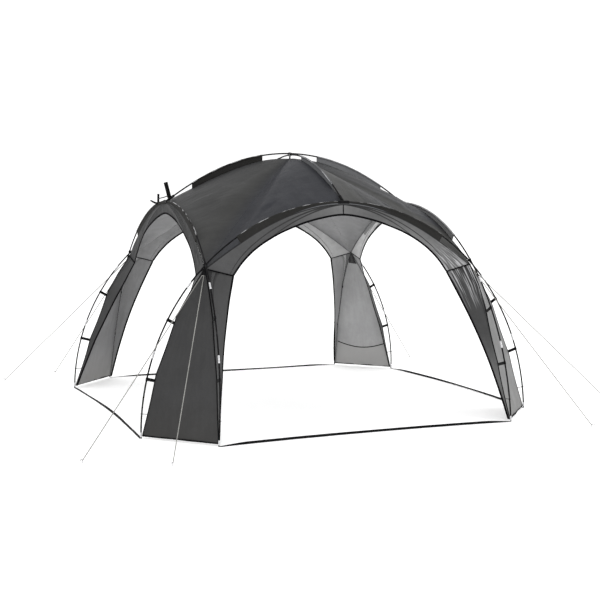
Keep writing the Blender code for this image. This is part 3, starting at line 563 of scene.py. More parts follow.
def crinkled(spot, amount, size, shift=0.0):
    """How far slack cloth stands off its tight shape, in metres."""
    at = spot / size + Vector((shift, shift * 0.7, -shift))
    return amount * (noise.noise(at) + 0.5 * noise.noise(at * 2.3))


def lay_cloth(cells, flat, spot, seam=None, folds=(), painted_light=None, wear_and_highlight=None):
    """Cut a rectangle of cloth, lay every point of it in place, and face it away from the middle.
    seam gives each point's distance to its nearest seam, and on the arch strips to a fold line painted as
    shade; folds are the columns kept crisp; the next gives how much painted light or shade a point takes,
    and the last how strongly painted highlights lie along its creases."""
    bm = bmesh.new()
    bmesh.ops.create_grid(bm, x_segments=cells[0], y_segments=cells[1], size=0.5)
    layer = bm.loops.layers.uv.verify()
    marks = {mark: bm.verts.layers.float.new(mark) for mark in ("seam", "run", "painted_light", "wear_and_highlight", "skirt")}
    cut = {vert: (vert.co.x + 0.5, vert.co.y + 0.5) for vert in bm.verts}
    for edge in bm.edges:
        columns = {round(cut[vert][0] * cells[0]) for vert in edge.verts}
        if len(columns) == 1 and columns <= set(folds):
            edge.smooth = False
    for vert, (u, v) in cut.items():
        vert.co = spot(u, v)
        vert[marks["seam"]], vert[marks["run"]] = seam(u, v) if seam else (1.0, 0.0)
        vert[marks["painted_light"]] = painted_light(u, v) if painted_light else 0.0
        vert[marks["wear_and_highlight"]] = wear_and_highlight(u, v) if wear_and_highlight else 0.0
    for face in bm.faces:
        for loop in face.loops:
            u, v = cut[loop.vert]
            loop[layer].uv = (u * flat[0], v * flat[1])
    bm.normal_update()
    middle = Vector((0, 0, 0.5))
    if sum(face.normal.dot(face.calc_center_median() - middle) for face in bm.faces) < 0:
        bmesh.ops.reverse_faces(bm, faces=bm.faces)
    return bm, cut


def thicken(piece, thick, lining=True):
    shell = piece.modifiers.new("cloth_thickness", "SOLIDIFY")
    shell.thickness = thick
    shell.offset = 0.0
    shell.use_even_offset = True
    shell.use_quality_normals = True
    shell.material_offset = 1 if lining else 0
    return piece


roof_cells = 180
roof_cut = 2 * (arch_plane + 0.12)


def whole_roof(u, v):
    x, y = 2 * u - 1, 2 * v - 1
    small, big = sorted((abs(x), abs(y)))
    spot = roof_spot(abs(x), abs(y))
    spot.x = math.copysign(spot.x, x) if x else 0.0
    spot.y = math.copysign(spot.y, y) if y else 0.0
    slack = min(1.0, 6 * small) * min(1.0, 7 * (1 - big))
    tight = min(1.0, 8 * (big - small))
    spot.z += slack * (0.35 + 0.65 * tight) * crinkled(spot, 0.007, 0.34)
    spot.z += slack * crinkled(spot, 0.0018, 0.09, 3.0)
    rim = max(0.0, (big - 0.4) / 0.6)
    along = spot.y if abs(x) > abs(y) else spot.x
    pull = noise.noise(Vector((along * 11, big * 1.5, x - y)))
    fine_pull = noise.noise(Vector((along * 24, big * 2.5, x - y)))
    spot.z += slack * tight * rim * (0.009 * pull + 0.005 * fine_pull)
    return spot


def roof_seam(u, v):
    """Felled seams run along both ridges and down both creases."""
    x, y = abs(2 * u - 1), abs(2 * v - 1)
    reach = arch_plane - arch_lean * 1.6
    to_ridge = min(x, y) * reach
    to_crease = 0.0045 + abs(x - y) * reach / math.sqrt(2)
    return min(to_ridge, to_crease), max(x, y) * reach * (1.0 if to_ridge < to_crease else math.sqrt(2))


def roof_painted_light(u, v):
    """Painted light and shade: the right quarters are painted paler where light falls on them, and the tone beside
    the creases is painted to even out their shading; the left quarters are darker, bluest on the front gore.
    """
    x, y = 2 * u - 1, 2 * v - 1
    small, big = sorted((abs(x), abs(y)))
    shift = 0.05 * math.sin(math.pi * big) if x < 0 and y < 0 else 0.0
    side_gore = clamped(0.5 + (abs(x) - abs(y) - shift) * (3 + 9 * (1 - big)))
    to_crease = small / max(big, 1e-6)
    left = 0.5 * side_gore * (0.65 + 0.35 * to_crease)
    on_crease = clamped((to_crease - 0.6) / 0.12)
    right = 0.27 + 0.54 * on_crease if abs(x) > abs(y) else max(0.24, 0.72 - 1.1 * to_crease)
    right = max(0.0, right - 0.45 * max(0.0, big - 0.5) * min(1.0, 2.5 * to_crease))
    return left + (right - left) * clamped(0.5 + x * 60)


roof, cut = lay_cloth((roof_cells, roof_cells), (roof_cut, roof_cut), whole_roof, roof_seam, painted_light=roof_painted_light)
for face in list(roof.faces):
    ends = [vert for vert in face.verts if abs(abs(cut[vert][0] - 0.5) - abs(cut[vert][1] - 0.5)) < 1e-5]
    if len(ends) == 2 and not any(set(edge.verts) == set(ends) for edge in face.edges):
        bmesh.utils.face_split(face, ends[0], ends[1])
for edge in roof.edges:
    if any(all(abs(cut[vert][axis] - 0.5) < 1e-5 for vert in edge.verts) for axis in (0, 1)):
        edge.smooth = False
layer = roof.loops.layers.uv.verify()
for face in roof.faces:
    centre = face.calc_center_median()
    if abs(centre.y) > abs(centre.x):
        for loop in face.loops:
            loop[layer].uv = loop[layer].uv.yx
roof_nodes = ["roof_panel_" + corner for corner in corners]
roof_piece = thicken(placed("roof_cloth", roof, [roof_outside, roof_inside], roof_nodes), cloth_thick)


# Arch bands
# A strip of the same cloth under each arch, from the roof seam down to the edge of the opening.
# Its lower edge is bound in black tape, folded over the cloth and sewn through.
opening_knots = [Vector(knot) for knot in (
    (0.0, 1.715), (0.21, 1.686), (0.41, 1.63), (0.60, 1.552), (0.77, 1.45), (0.89, 1.342), (0.975, 1.232))]
opening_spots = [through(opening_knots, i / 20) for i in range(20 * (len(opening_knots) - 1) + 1)]
opening_shares = shares_along(opening_spots)
opening_lines = np.array([tuple(spot) for spot in opening_spots]).T


def opening_spot(share):
    return Vector([float(np.interp(abs(share), opening_shares, line)) for line in opening_lines])


def webbing_finish(name, colour, sheen):
    """Woven polyester tape: ribs across it, a finer twill along it and fluffed, paler high spots."""
    finish = Finish(name, colour, 0.72, **{"Sheen Weight": sheen, "Sheen Roughness": 0.5, "Specular IOR Level": 0.03})
    ribs, cords = finish.bands(620.0, "Y"), finish.bands(9.0, "X")
    wear = finish.speckle(35.0, 5.0, 0.65)
    tone = finish.sum((ribs, 0.25), (cords, 0.2), (wear, 0.55))
    finish.paint(finish.mottled(tone, colour, (0.25, 0.55), 0.5, (0.8, 2.1)))
    finish.gloss(wear, 0.6, 0.85)
    finish.relief(finish.sum((ribs, 0.5), (cords, 0.3), (wear, 0.2)), 0.0006, 0.8)
    return finish.material


binding_finish = webbing_finish("binding_tape", (0.0025, 0.0025, 0.003), 0.0)
binding_half, binding_thick = 0.0082, 0.0036
peak_tape_half, peak_tape_thick = 0.0042, 0.0019


def bind(name, points, faces, half=binding_half, thick=binding_thick):
    """Fold a tape over an edge and sew it down."""
    return drawn(name, points, faces, (half, thick), binding_finish, "webbing", boxed=0.55)


band_outside = cloth_finish("band_cloth_outside", (0.034, 0.034, 0.0345), 0.46, 0.5, (1, 0.3, 1),
                            other=((0.075, 0.075, 0.076), (0.17, 0.17, 0.1705)), highlight_streaks=(0.06, 1, 1), shine=0.04)
band_inside = cloth_finish("band_cloth_inside", (0.295, 0.295, 0.297), 0.6, 0.4, (1, 0.3, 1),
                           other=((0.295, 0.295, 0.297), (0.68, 0.68, 0.678)))
fold_reach, second_fold_reach = 0.63, 1.15
fold_rise = 0.018


def valance_fold(share, v):
    """A shallow ridge runs from the peak down to the edge of the opening, where the strip was eased in."""
    line = abs(share) / fold_reach
    return fold_rise * max(0.0, 1 - abs(v - line) / 0.4) * min(1.0, 4 * abs(share)) * max(0.0, 1.25 - line)


for k, side_name in enumerate(side_names):
    def band_spot(u, v):
        share = 2 * u - 1
        spot = seam_spot(k, share).lerp(opening_spot(share), v)
        slack = math.sin(math.pi * v) * min(1.0, 8 * (1 - abs(share)))
        at = in_plane(k, math.copysign(spot.x, share), spot.y)
        end = max(0.0, (abs(share) - 0.7) / 0.3) * (1.6 if k == 0 and share > 0 else 1.0)
        stand = slack * (crinkled(at, 0.004, 0.16, k) + end * crinkled(at, 0.011, 0.05, k + 5))
        return at + facing(k) * (stand + valance_fold(share, v))

    def band_seam(u, v):
        share = abs(2 * u - 1)
        wide = (seam_spot(k, share) - opening_spot(share)).length
        # The fold lines are painted shade: darkened lines with stitches, drawn where the strip folds.
        folds = [abs(v - share / reach) * wide + 0.002 + 0.004 * share / reach
                 for reach in (fold_reach, second_fold_reach) if share < reach]
        return min([v * wide] + folds), share * 1.35

    def band_painted_light(u, v):
        # Painted light and shade: the front strip is paler by its peak and toward its right end, the right strip's
        # back half carries a painted shadow of the sleeve beside its seam, and the back strip is paler on one half
        # and the left strip darker, as light falls on them.
        if k == 0:
            by_peak = 0.32 * max(0.0, 1 - abs(u - 0.5) / 0.22)
            return 0.5 + max(by_peak, 0.5 * clamped((u - 0.5) * 3.5) * (0.4 + 0.6 * v))
        if k == 1 and u > 0.5:
            return 0.5 if v < 0.42 and u < 0.86 else 0.93
        return (0.5, 0.5, 0.76 if u < 0.5 else 0.5, 0.0)[k]

    def band_highlights(u, v):
        """The strip is creased where it runs down to the front right corner, and painted highlights lie along those
        creases.
        """
        return min(0.9, max(0.0, (u - 0.86) / 0.1)) if k == 0 else 0.0

    bm, _ = lay_cloth((170, 34), (2.7, 0.15), band_spot, band_seam, painted_light=band_painted_light, wear_and_highlight=band_highlights)
    nodes = ["arch_band_" + side_name]
    band = thicken(placed("band_" + side_name, bm, [band_outside, band_inside], nodes), cloth_thick)
    edge = []
    for share in [2 * i / 120 - 1 for i in range(121)]:
        spot = opening_spot(share)
        edge.append(in_plane(k, math.copysign(spot.x, share), spot.y + binding_half * 0.3, valance_fold(share, 1.0)))
    tape = bind("opening_binding_" + side_name, edge, facing(k))
    top, low = seam_spot(k, 0).y, opening_spot(0).y
    peak = [in_plane(k, 0.0, top + (low - top) * i / 8) for i in range(9)]
    peak_tape = bind("peak_seam_" + side_name, peak, facing(k), peak_tape_half, peak_tape_thick)


# Corner legs
# Each leg is a three-cornered panel that spreads to the ground between two poles, with a narrow wing
# folded back at either side into the opening. The folds, the free edges and the hem are bound in black,
# and short straps and a thin cord near the ground hold the folds to the poles.
leg_inset_foot, leg_inset_top, leg_inset_mid = 0.012, 0.026, 0.06
leg_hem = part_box("corner_leg_front_left")[0].z
leg_top = corner_height - 0.0027
strap_heights = (0.49, 0.94)
cord_height = 0.19
leg_strap_half, leg_strap_thick, leg_cord_half = 0.0125, 0.0012, 0.002
fold_tape_half, hem_tape_half, head_tape_half, head_tape_thick = 0.004, 0.005, 0.0058, 0.004
scallop = 0.013
wing_bow, wing_bow_share, wing_foot = 0.045, 0.6, 0.008
head_gap = 0.0012
fold_nip = 0.0055
wing_cells, panel_cells, rows = 10, 30, 64
leg_cells = 2 * wing_cells + panel_cells
leg_folds = (wing_cells, wing_cells + panel_cells)
leg_parts = ((0, wing_cells, 0.5), (wing_cells, panel_cells, 1.0), (wing_cells + panel_cells, wing_cells, 0.5))
skirt_height, skirt_dip = 0.285, 0.06


def leg_inset(height):
    share = min(height / node_height, 1.0)
    rise = leg_inset_foot + (leg_inset_top - leg_inset_foot) * share
    return rise + leg_inset_mid * math.sin(math.pi * share)


def scalloped(height):
    """Between its straps the fold hangs back from the pole in shallow scallops."""
    held = (leg_hem,) + strap_heights + (leg_top,)
    for low, high in zip(held, held[1:]):
        if low <= height <= high:
            return scallop * (math.sin(math.pi * (height - low) / (high - low)) - 0.25) * min(1, (high - low) / 0.3)
    return 0.0


def leg_edge(on_side_arch, height, loose=0.0):
    """Fold beside a pole, in the first quarter."""
    angle = angle_at(height)
    spot = on_arch(angle) + inward_at(angle) * (leg_inset(height) + loose)
    depth = arch_plane - arch_lean * spot.y + (arch_step if on_side_arch else -arch_step)
    return Vector((depth, spot.x, height)) if on_side_arch else Vector((spot.x, depth, height))


def leg_row(v, slack=(0.0, 0.0)):
    """The four corners of the leg's section at one share of its height: edge, fold, fold, edge.
    slack lets a fold hang further from its pole at mid height, at the side arch and at the end arch."""
    step_share = 7 / 8
    if step_share < v < 1.0:
        low, high = leg_row(step_share, slack), leg_row(1.0)
        return [a.lerp(b, (v - step_share) / (1 - step_share)) for a, b in zip(low, high)]
    face = solid_cloth / 2
    height = leg_hem + (leg_top - leg_hem) * v
    if v < 1.0:
        loose = [scalloped(height) + amount * math.sin(math.pi * v) for amount in slack]
        side_fold, end_fold = leg_edge(True, height, loose[0]), leg_edge(False, height, loose[1])
    else:
        x_top = arch_plane - arch_lean * leg_top + arch_step + face
        y_top = arch_plane - arch_lean * leg_top - arch_step + face
        side_fold, end_fold = Vector((x_top - fold_nip, y_top, leg_top)), Vector((x_top, y_top - fold_nip, leg_top))
    head_along, head_height = opening_knots[-1].x, opening_knots[-1].y - head_gap
    wings = []
    for on_side, fold in ((True, side_fold), (False, end_fold)):
        start = leg_edge(on_side, leg_hem)
        foot = Vector((start.x - wing_foot, start.y - wing_foot, leg_hem))
        depth = arch_plane - arch_lean * head_height + (-arch_step if on_side else arch_step) + face
        head = Vector((head_along, depth, head_height) if on_side else (depth, head_along, head_height))
        spot = foot.lerp(head, v)
        pull = Vector((fold.x - spot.x, fold.y - spot.y, 0))
        wings.append(spot + pull.normalized() * min(wing_bow * math.sin(math.pi * v), wing_bow_share * pull.length))
    return [wings[0], side_fold, end_fold, wings[1]]


leg_outside = cloth_finish("leg_cloth_outside", (0.0465, 0.0465, 0.0472), 0.5, 0.5, (1, 0.2, 1), low_tint=0.12,
                           other=((0.057, 0.057, 0.0575), (0.2, 0.2, 0.199)), highlight_streaks=(1, 0.035, 1))
leg_inside = cloth_finish("leg_cloth_inside", (0.30, 0.30, 0.302), 0.65, 0.45, (1, 0.2, 1), low_tint=0.45, skirt=True,
                          other=((0.185, 0.185, 0.187), (0.345, 0.345, 0.347)))
leg_slack = {"front_left": (0.0, 0.0), "front_right": (0.055, 0.02), "back_right": (0.0, 0.0),
             "back_left": (0.0, 0.028)}
strap_shift = {"front_left": (0.0, -0.035), "front_right": (0.0, 0.045), "back_right": (0.0, 0.0),
               "back_left": (0.0, 0.0)}


def mirrored(spot, corner):
    """A place in the first quarter, taken to one of the corners."""
    sx, sy = corners[corner]
    return Vector((spot.x * sx, spot.y * sy, spot.z))


def leg_spot(u, v, corner, shift=0.0):
    column = u * leg_cells
    part = sum(column > fold for fold in leg_folds)
    first, cells, loose = leg_parts[part]
    share = (column - first) / cells
    row = leg_row(v, leg_slack[corner])
    spot = mirrored(row[part].lerp(row[part + 1], share), corner)
    slack = loose * math.sin(math.pi * share) * min(1, 6 * (1 - v))
    pleat = noise.noise(Vector((column * 0.16, v * 0.9, shift)))
    head = max(0.0, (v - 0.72) / 0.28)
    stand = crinkled(spot, 0.006, 0.3, shift) + 0.008 * pleat + head * crinkled(spot, 0.014, 0.055, 7)
    return spot + mirrored(Vector((1, 1, 0)).normalized(), corner) * slack * stand


def leg_seam(u, v):
    """Seam at both folds and along the hem and the head."""
    wide = 0.05 + 0.5 * (1 - v)
    nearest = min(abs(u * leg_cells - fold) for fold in leg_folds) / panel_cells * wide
    return min(nearest, v * 1.3 + 0.0001), v * 1.4


def carried(points, face):
    """Carry a facing direction along a path without twisting it."""
    faces = []
    for before, after in zip(points, points[1:] + points[-1:]):
        along = after - before
        if along.length > 1e-9:
            along.normalize()
            face = (face - along * face.dot(along)).normalized()
        faces.append(face)
    return faces


strap_finish = webbing_finish("strap_webbing", (0.006, 0.006, 0.0065), 0.05)
for i, (corner, (sx, sy)) in enumerate(corners.items()):
    def corner_leg_spot(u, v):
        return leg_spot(u, v, corner, 2.0 * i + 1)

    def leg_painted_light(u, v):
        """Painted light and shade: the back left leg and the front left wings are painted darker, the front right and
        back right legs paler, the front right one most toward the ground.
        """
        on_panel = 0.2 <= u <= 0.8
        if corner == "front_right":
            return 0.9 + 0.1 * (1 - v) if on_panel else 0.36 + 0.4 * clamped(1.5 - 2 * v)
        if corner == "back_left":
            return 0.5 if on_panel else 0.25
        return 0.5 * (not on_panel) if corner == "front_left" else float(on_panel)

    def leg_highlights(u, v):
        # Painted highlights along the creases at the head of the front right leg.
        return clamped((v - 0.72) / 0.15) if corner == "front_right" else 0.0

    bm, cut = lay_cloth((leg_cells, rows), (0.9, 1.4), corner_leg_spot, leg_seam, leg_folds, leg_painted_light, leg_highlights)
    skirt_layer = bm.verts.layers.float["skirt"]
    for vert, (u, v) in cut.items():
        share = (u * leg_cells - wing_cells) / panel_cells
        on_panel = 0 <= share <= 1 and corner == "back_right"
        vert[skirt_layer] = vert.co.z - skirt_height + skirt_dip * math.sin(math.pi * share) if on_panel else 1.0
    node = "corner_leg_" + corner
    leg = thicken(placed("leg_" + corner, bm, [leg_outside, leg_inside], [node]), cloth_thick)
    arches = (1 if sx > 0 else 3, 0 if sy < 0 else 2)
    for tape_name, u in (("side_edge", 0.0), ("side_fold", 0.2), ("end_fold", 0.8), ("end_edge", 1.0)):
        path = [leg_spot(u, j / 60, corner) for j in range(61)]
        near = [leg_spot(abs(u - 0.04), j / 60, corner) for j in range(61)]
        flats = [(b - a).cross(c - a).normalized()
                 for a, b, c in zip(path, near, path[1:] + [path[-1] * 2 - path[-2]])]
        half = fold_tape_half if "fold" in tape_name else binding_half
        bind(f"leg_{tape_name}_{corner}", path, flats, half=half)
    hem = [leg_spot(j / 80, 0.0, corner) + Vector((0, 0, 0.002)) for j in range(81)]
    bind("leg_hem_" + corner, hem, carried(hem, Vector((sx, sy, 0)).normalized()), half=hem_tape_half)
    for tape_name, start, arch in (("side_head", 0.0, arches[0]), ("end_head", 0.8, arches[1])):
        head = [leg_spot(start + 0.2 * j / 12, 1.0, corner) + Vector((0, 0, 0.003)) for j in range(13)]
        bind(f"leg_{tape_name}_{corner}", head, facing(arch), head_tape_half, head_tape_thick)

    bm = bmesh.new()
    for at_end, arch in enumerate(arches):
        probe = in_plane(arch, 1.0, 0.5)
        sign = 1 if probe.x * sx > 0 and probe.y * sy > 0 else -1
        shift = strap_shift[corner][at_end]
        straps = [(height + shift, leg_strap_half, leg_strap_thick) for height in strap_heights]
        for height, wide, thick in straps + [(cord_height, leg_cord_half, leg_cord_half)]:
            angle = angle_at(height)
            spot, inward = on_arch(angle), inward_at(angle)
            slack = leg_slack[corner][at_end] * math.sin(math.pi * (height - leg_hem) / (leg_top - leg_hem))
            reach = leg_inset(height) + scalloped(height) + slack + 0.006
            pole = in_plane(arch, sign * spot.x, spot.y)
            cloth = in_plane(arch, sign * (spot.x + inward.x * reach), spot.y + inward.y * reach)
            pull, out = (cloth - pole).normalized(), facing(arch)
            up_pole = pull.cross(out).normalized()
            ring = pole_radius + thick * 1.2
            turns = [math.radians(55 + j * 25) for j in range(11)]
            loop = [cloth + out * thick, pole + pull * (ring * 1.9) + out * thick * 1.2]
            loop += [pole + (pull * math.cos(turn) + out * math.sin(turn)) * ring for turn in turns]
            loop += [pole + pull * (ring * 1.9) - out * thick * 1.2, cloth - out * thick]
            faces = [up_pole.cross(b - a).normalized() for a, b in zip(loop, loop[1:])]
            draw_out(bm, loop, faces + faces[-1:], (wide, thick), 12, 0.5)
    made("leg_straps_" + corner, bm, [strap_finish], "webbing", node)


# Pole sleeves
# A strip of cloth folded round the pole and sewn to the seam below it, gathered a little lengthwise,
# on the upper part of each arch and on the middle of each half ridge. Pale streaks along the two
# shoulders of the fold over the pole are painted highlights.
sleeve_radius, sleeve_cloth = 0.0081, 0.0011
sleeve_width, web = 0.14, 0.3
sleeve_finish = cloth_finish("sleeve_cloth", (0.024, 0.0236, 0.0226), 0.5, 0.5, (1, 1, 1),
                             other=((0.05, 0.053, 0.06), (0.26, 0.26, 0.262)), highlight_streaks=(1, 0.1, 1), shine=0.01)


def sleeve_section(turn, drop, gather):
    """Fold of the strip at one share of its width: across and up from the pole's middle."""
    if turn < web or turn > 1 - web:
        share = (turn if turn < web else 1 - turn) / web
        across = 0.0009 + gather * 0.6 * math.sin(math.pi * share)
        return (-across if turn < web else across), -drop + (drop - sleeve_radius * eight_sided * 1.15) * share
    angle = math.radians(-112) - math.radians(316) * ((turn - web) / (1 - 2 * web))
    radius = sleeve_radius + gather
    return radius * math.cos(angle), radius * math.sin(angle)


def sleeve(name, length, place, drops):
    """place gives the pole's middle, its face and its up direction at a share of the length."""
    def spot(u, v):
        middle, face, up = place(v)
        gather = 0.0011 * noise.noise(Vector((v * length * 38, u * 5.0, len(name))))
        gather += 0.0007 * noise.noise(Vector((v * length * 90, u * 9.0, 4.0)))
        across, rise = sleeve_section(u, drops(v), max(gather, -0.0006))
        return middle + face * across + up * rise

    def sleeve_painted_light(u, v):
        # Painted light and shade: the front arch sleeve is paler by its peak, and the right arch, front ridge and
        # right ridge sleeves are paler as light falls on them.
        by_peak = 0.95 * clamped(1.15 - abs(v - 0.5) / 0.2)
        if name == "arch_sleeve_front":
            return 0.67 * clamped(0.5 + (by_peak - min(u, 1 - u) / web) * 7) if by_peak else 0.0
        return {"arch_sleeve_right": 0.97, "ridge_sleeve_front": 0.67, "ridge_sleeve_right": 0.72}.get(name, 0.0)

    def sleeve_highlights(u, v):
        # Painted highlights: pale streaks along both shoulders of the fold over the pole.
        shoulder = 0.067 if "ridge" in name else 0.033
        highlight_width = 0.02 if name == "ridge_sleeve_front" else 0.012
        return 3.5 if abs(abs(u - 0.5) - shoulder) < highlight_width else 0.0

    cells = (30, int(length * 75))
    bm, _ = lay_cloth(cells, (sleeve_width, length), spot, painted_light=sleeve_painted_light, wear_and_highlight=sleeve_highlights)
    return thicken(made("sewn_" + name, bm, [sleeve_finish], "sleeve", name), sleeve_cloth, lining=False)


for k, side_name in enumerate(side_names):
    def place_on_arch(v):
        share = (2 * v - 1) * 6 / 8
        angle = angle_from_peak(abs(share))
        spot, up = on_arch(angle), -inward_at(angle)
        sign = math.copysign(1, share)
        rise = turned(k) @ Vector((sign * up.x, arch_lean * up.y, up.y))
        return in_plane(k, sign * spot.x, spot.y), facing(k), rise.normalized()

    def arch_drop(v):
        share = abs(2 * v - 1) * 6 / 8
        return (seam_spot(k, share) - on_arch(angle_from_peak(share))).length

    piece = sleeve("arch_sleeve_" + side_name, 2.15, place_on_arch, arch_drop)

for k, side_name in enumerate(side_names):
    def along_ridge(v):
        return ridge_stations[2] + (ridge_stations[6] - ridge_stations[2]) * v

    def place_on_ridge(v):
        return ridge_spot(k, along_ridge(v)), sideways(k), Vector((0, 0, 1))

    def ridge_drop(v):
        s = along_ridge(v)
        return ridge_spot(k, s).z - roof_ridge(k, s / roof_ridge(k, 1.0)[0])[1]

    piece = sleeve("ridge_sleeve_" + side_name, 0.71, place_on_ridge, ridge_drop)
    pole = "ridge_pole_across" if k % 2 else "ridge_pole_along"


# Peak hubs and tape ends
# Moulded black plastic saddles clasp each arch sleeve at its peak, with a socket that takes the end of
# the ridge pole. On the left stand the ends of the webbing that bundles the gazebo away: a stitched tab
# on the hub, a post and a hooked end on the sleeve beside it, and a thin tape from post to tab.
hub_half_length = 0.05
saddle_inner, saddle_outer = 0.0091, 0.0125
socket_outer, socket_mouth, socket_reach, socket_floor = 0.0115, 0.007, 0.046, 0.0165


def moulded_plastic():
    """Black nylon with a fine spark-eroded grain, dulled and scuffed on its edges."""
    black = (0.008, 0.008, 0.0085)
    finish = Finish("moulded_nylon", black, 0.42, **{"Specular IOR Level": 0.05})
    scuff, grain = finish.speckle(90.0, 5.0, 0.7), finish.speckle(1400.0, 2.0, 0.5)
    finish.paint(finish.mottled(scuff, black, (0.35, 0.75), 0.6, (0.78, 3.2)))
    finish.gloss(scuff, 0.34, 0.56)
    finish.relief(finish.sum((grain, 0.5), (scuff, 0.5)), 0.00025, 0.6)
    return finish.material


def up_from_arch(side, angle):
    """Up and away from an arch in its own plane, on the half toward the arch's first end."""
    inward = inward_at(angle)
    return turned(side) @ Vector((inward.x, arch_lean, -inward.y))


nylon_finish = moulded_plastic()
for k, side_name in enumerate(side_names):
    bm = bmesh.new()
    bmesh.ops.create_grid(bm, x_segments=26, y_segments=16, size=0.5)
    for vert in bm.verts:
        turn = math.radians(-108 - 324 * (vert.co.x + 0.5))
        share = vert.co.y * 2
        angle = math.pi / 2 + share * hub_half_length / half_span
        rib = 0.0006 if abs(abs(share) - 0.94) < 0.07 else 0.0
        radius = (saddle_inner + saddle_outer) / 2 + rib
        inward = inward_at(angle)
        up = turned(k) @ Vector((-inward.x, arch_lean, -inward.y)).normalized()
        vert.co = in_plane(k, *on_arch(angle)) + (facing(k) * math.cos(turn) + up * math.sin(turn)) * radius
    bmesh.ops.recalc_face_normals(bm, faces=bm.faces)
    bmesh.ops.solidify(bm, geom=bm.faces[:], thickness=saddle_outer - saddle_inner)
    path = [ridge_spot(k, ridge_ends[k % 2] + socket_floor - (socket_reach + socket_floor) * i / 6) for i in range(7)]
    start = len(bm.faces)
    draw_out(bm, path, sideways(k), [socket_outer * s for s in (0.9, 1.0, 0.97, 0.97, 1.0, 1.05, 1.02)], 20)
    bm.faces.ensure_lookup_table()
    ends = [face for face in bm.faces[start:] if len(face.verts) == 20]
    mouth = min(ends, key=lambda face: (face.calc_center_median() - path[-1]).length)
    bmesh.ops.inset_region(bm, faces=[mouth], thickness=socket_outer - socket_mouth - 0.001, depth=0.0)
    bmesh.ops.translate(bm, verts=mouth.verts, vec=(path[-2] - path[-1]) * 0.8)
    made("hub_" + side_name, bm, [nylon_finish], "hub", "peak_hub_" + side_name)

tape_end_finish = webbing_finish("loose_webbing", (0.005, 0.005, 0.0055), 0.08)


def folded_end(name, base, tip, across, wide, thick):
    """Webbing folded back on itself and stitched: up one side, round the end and down the other."""
    up = (tip - base).normalized()
    flat = up.cross(across).normalized()
    apart = thick / 4
    length = (tip - base).length
    path = [base + flat * apart + up * (length - apart) * j / 8 for j in range(9)]
    path += [tip - up * apart + (flat * math.cos(a) + up * math.sin(a)) * apart for a in (0.8, 1.57, 2.34)]
    path += [base - flat * apart + up * (length - apart) * j / 8 for j in range(8, -1, -1)]
    faces = [flat] * 9 + [(flat + up).normalized(), up, (up - flat).normalized()] + [-flat] * 9
    drawn(name, path, faces, (wide / 2, thick / 4.4), tape_end_finish, "webbing")


left_out = facing(3)
tab_length, tab_width, tab_thick, tab_lean = 0.135, 0.036, 0.006, -0.035
tab_stand = arch_plane - arch_lean * arch_top + arch_step - 0.032
tab_foot = ridge_spot(3, tab_stand) + Vector((0, 0, 0.0095))
folded_end("hub_tab", tab_foot, tab_foot + Vector((tab_lean, 0, tab_length)), Vector((1, 0, 0)), tab_width, tab_thick)
post_angle = (angle_from_peak(1 / 8) + angle_from_peak(2 / 8)) / 2
post_spot = on_arch(post_angle)
post_foot = in_plane(3, -post_spot.x, post_spot.y)
post_up = up_from_arch(3, post_angle).normalized()
folded_end("sleeve_post", post_foot + post_up * 0.0075, post_foot + post_up * 0.0855, left_out, 0.019, 0.009)
hook_start = post_foot + left_out * 0.0075
path = [hook_start + left_out * 0.062 * t + Vector((0, 0, 0.022 * t**1.6)) for t in (0, 0.2, 0.4, 0.6, 0.8, 1.0)]
path += [path[-1] + left_out * 0.002 + Vector((0, 0, 0.004))]
hook_sizes = [(0.01, 0.01), (0.011, 0.009), (0.0115, 0.0085), (0.0115, 0.008), (0.011, 0.0075), (0.009, 0.0065),
              (0.003, 0.0024)]
drawn("sleeve_hook", path, carried(path, Vector((0, 0, 1))), hook_sizes, nylon_finish, "webbing", boxed=0.7)
start, end = post_foot + post_up * 0.046, tab_foot + Vector((0, 0, 0.026))
path = [start.lerp(end, j / 8) - Vector((0, 0, 0.006 * math.sin(math.pi * j / 8))) for j in range(9)]
drawn("hub_tape", path, carried(path, left_out), (0.0042, 0.0036), tape_end_finish, "webbing", boxed=0.7)


# Crown tie, corner ties and guy patches
# A loop of narrow webbing holds the crossing ridge poles to the crown of the cloth, and one at each
# corner holds the crossing arch poles. Below it a patch, box-stitched to the leg, takes the guys, and a
# grey sheet inside the leg is painted shade: the patch's shadow seen through the cloth.
def loop_round(bm, centre, axis, radius, half_width, thick, start):
    across = (start - axis * start.dot(axis)).normalized()
    other = axis.cross(across)
    turns = [2 * math.pi * j / 24 for j in range(25)]
    faces = [across * math.cos(turn) + other * math.sin(turn) for turn in turns]
    path = [centre + out * (radius + (0.0004 if j in (0, 24) else 0)) for j, out in enumerate(faces)]
    draw_out(bm, path, faces, (half_width, thick), 12, 0.5)


bm = bmesh.new()
diagonal = Vector((1, 1, 0)).normalized()
loop_round(bm, Vector((0, 0, crown_top)), diagonal, 0.018, 0.009, 0.0013, Vector((0, 0, -1)))
tail = [Vector((0, 0, crown_top - drop)) for drop in (0.0175, 0.03, 0.0392)]
draw_out(bm, tail, diagonal, (0.0075, 0.0028), 12, 0.6)
made("crown_tie_loop", bm, [strap_finish], "webbing", "crown_tie")


def pole_crossing():
    """Middle of the short line between two arch poles where they cross, in the first quarter."""
    spot = on_arch(node_angle)
    along = Vector((-math.sin(node_angle) * half_span, math.cos(node_angle) * arch_top)).normalized()
    one, two = in_plane(1, spot.x, spot.y), in_plane(2, -spot.x, spot.y)
    u = (turned(1) @ Vector((along.x, arch_lean * along.y, along.y))).normalized()
    v = (turned(2) @ Vector((-along.x, arch_lean * along.y, along.y))).normalized()
    gap, b = one - two, u.dot(v)
    s = (b * v.dot(gap) - u.dot(gap)) / (1 - b * b)
    t = (v.dot(gap) - b * u.dot(gap)) / (1 - b * b)
    return (one + u * s + two + v * t) / 2


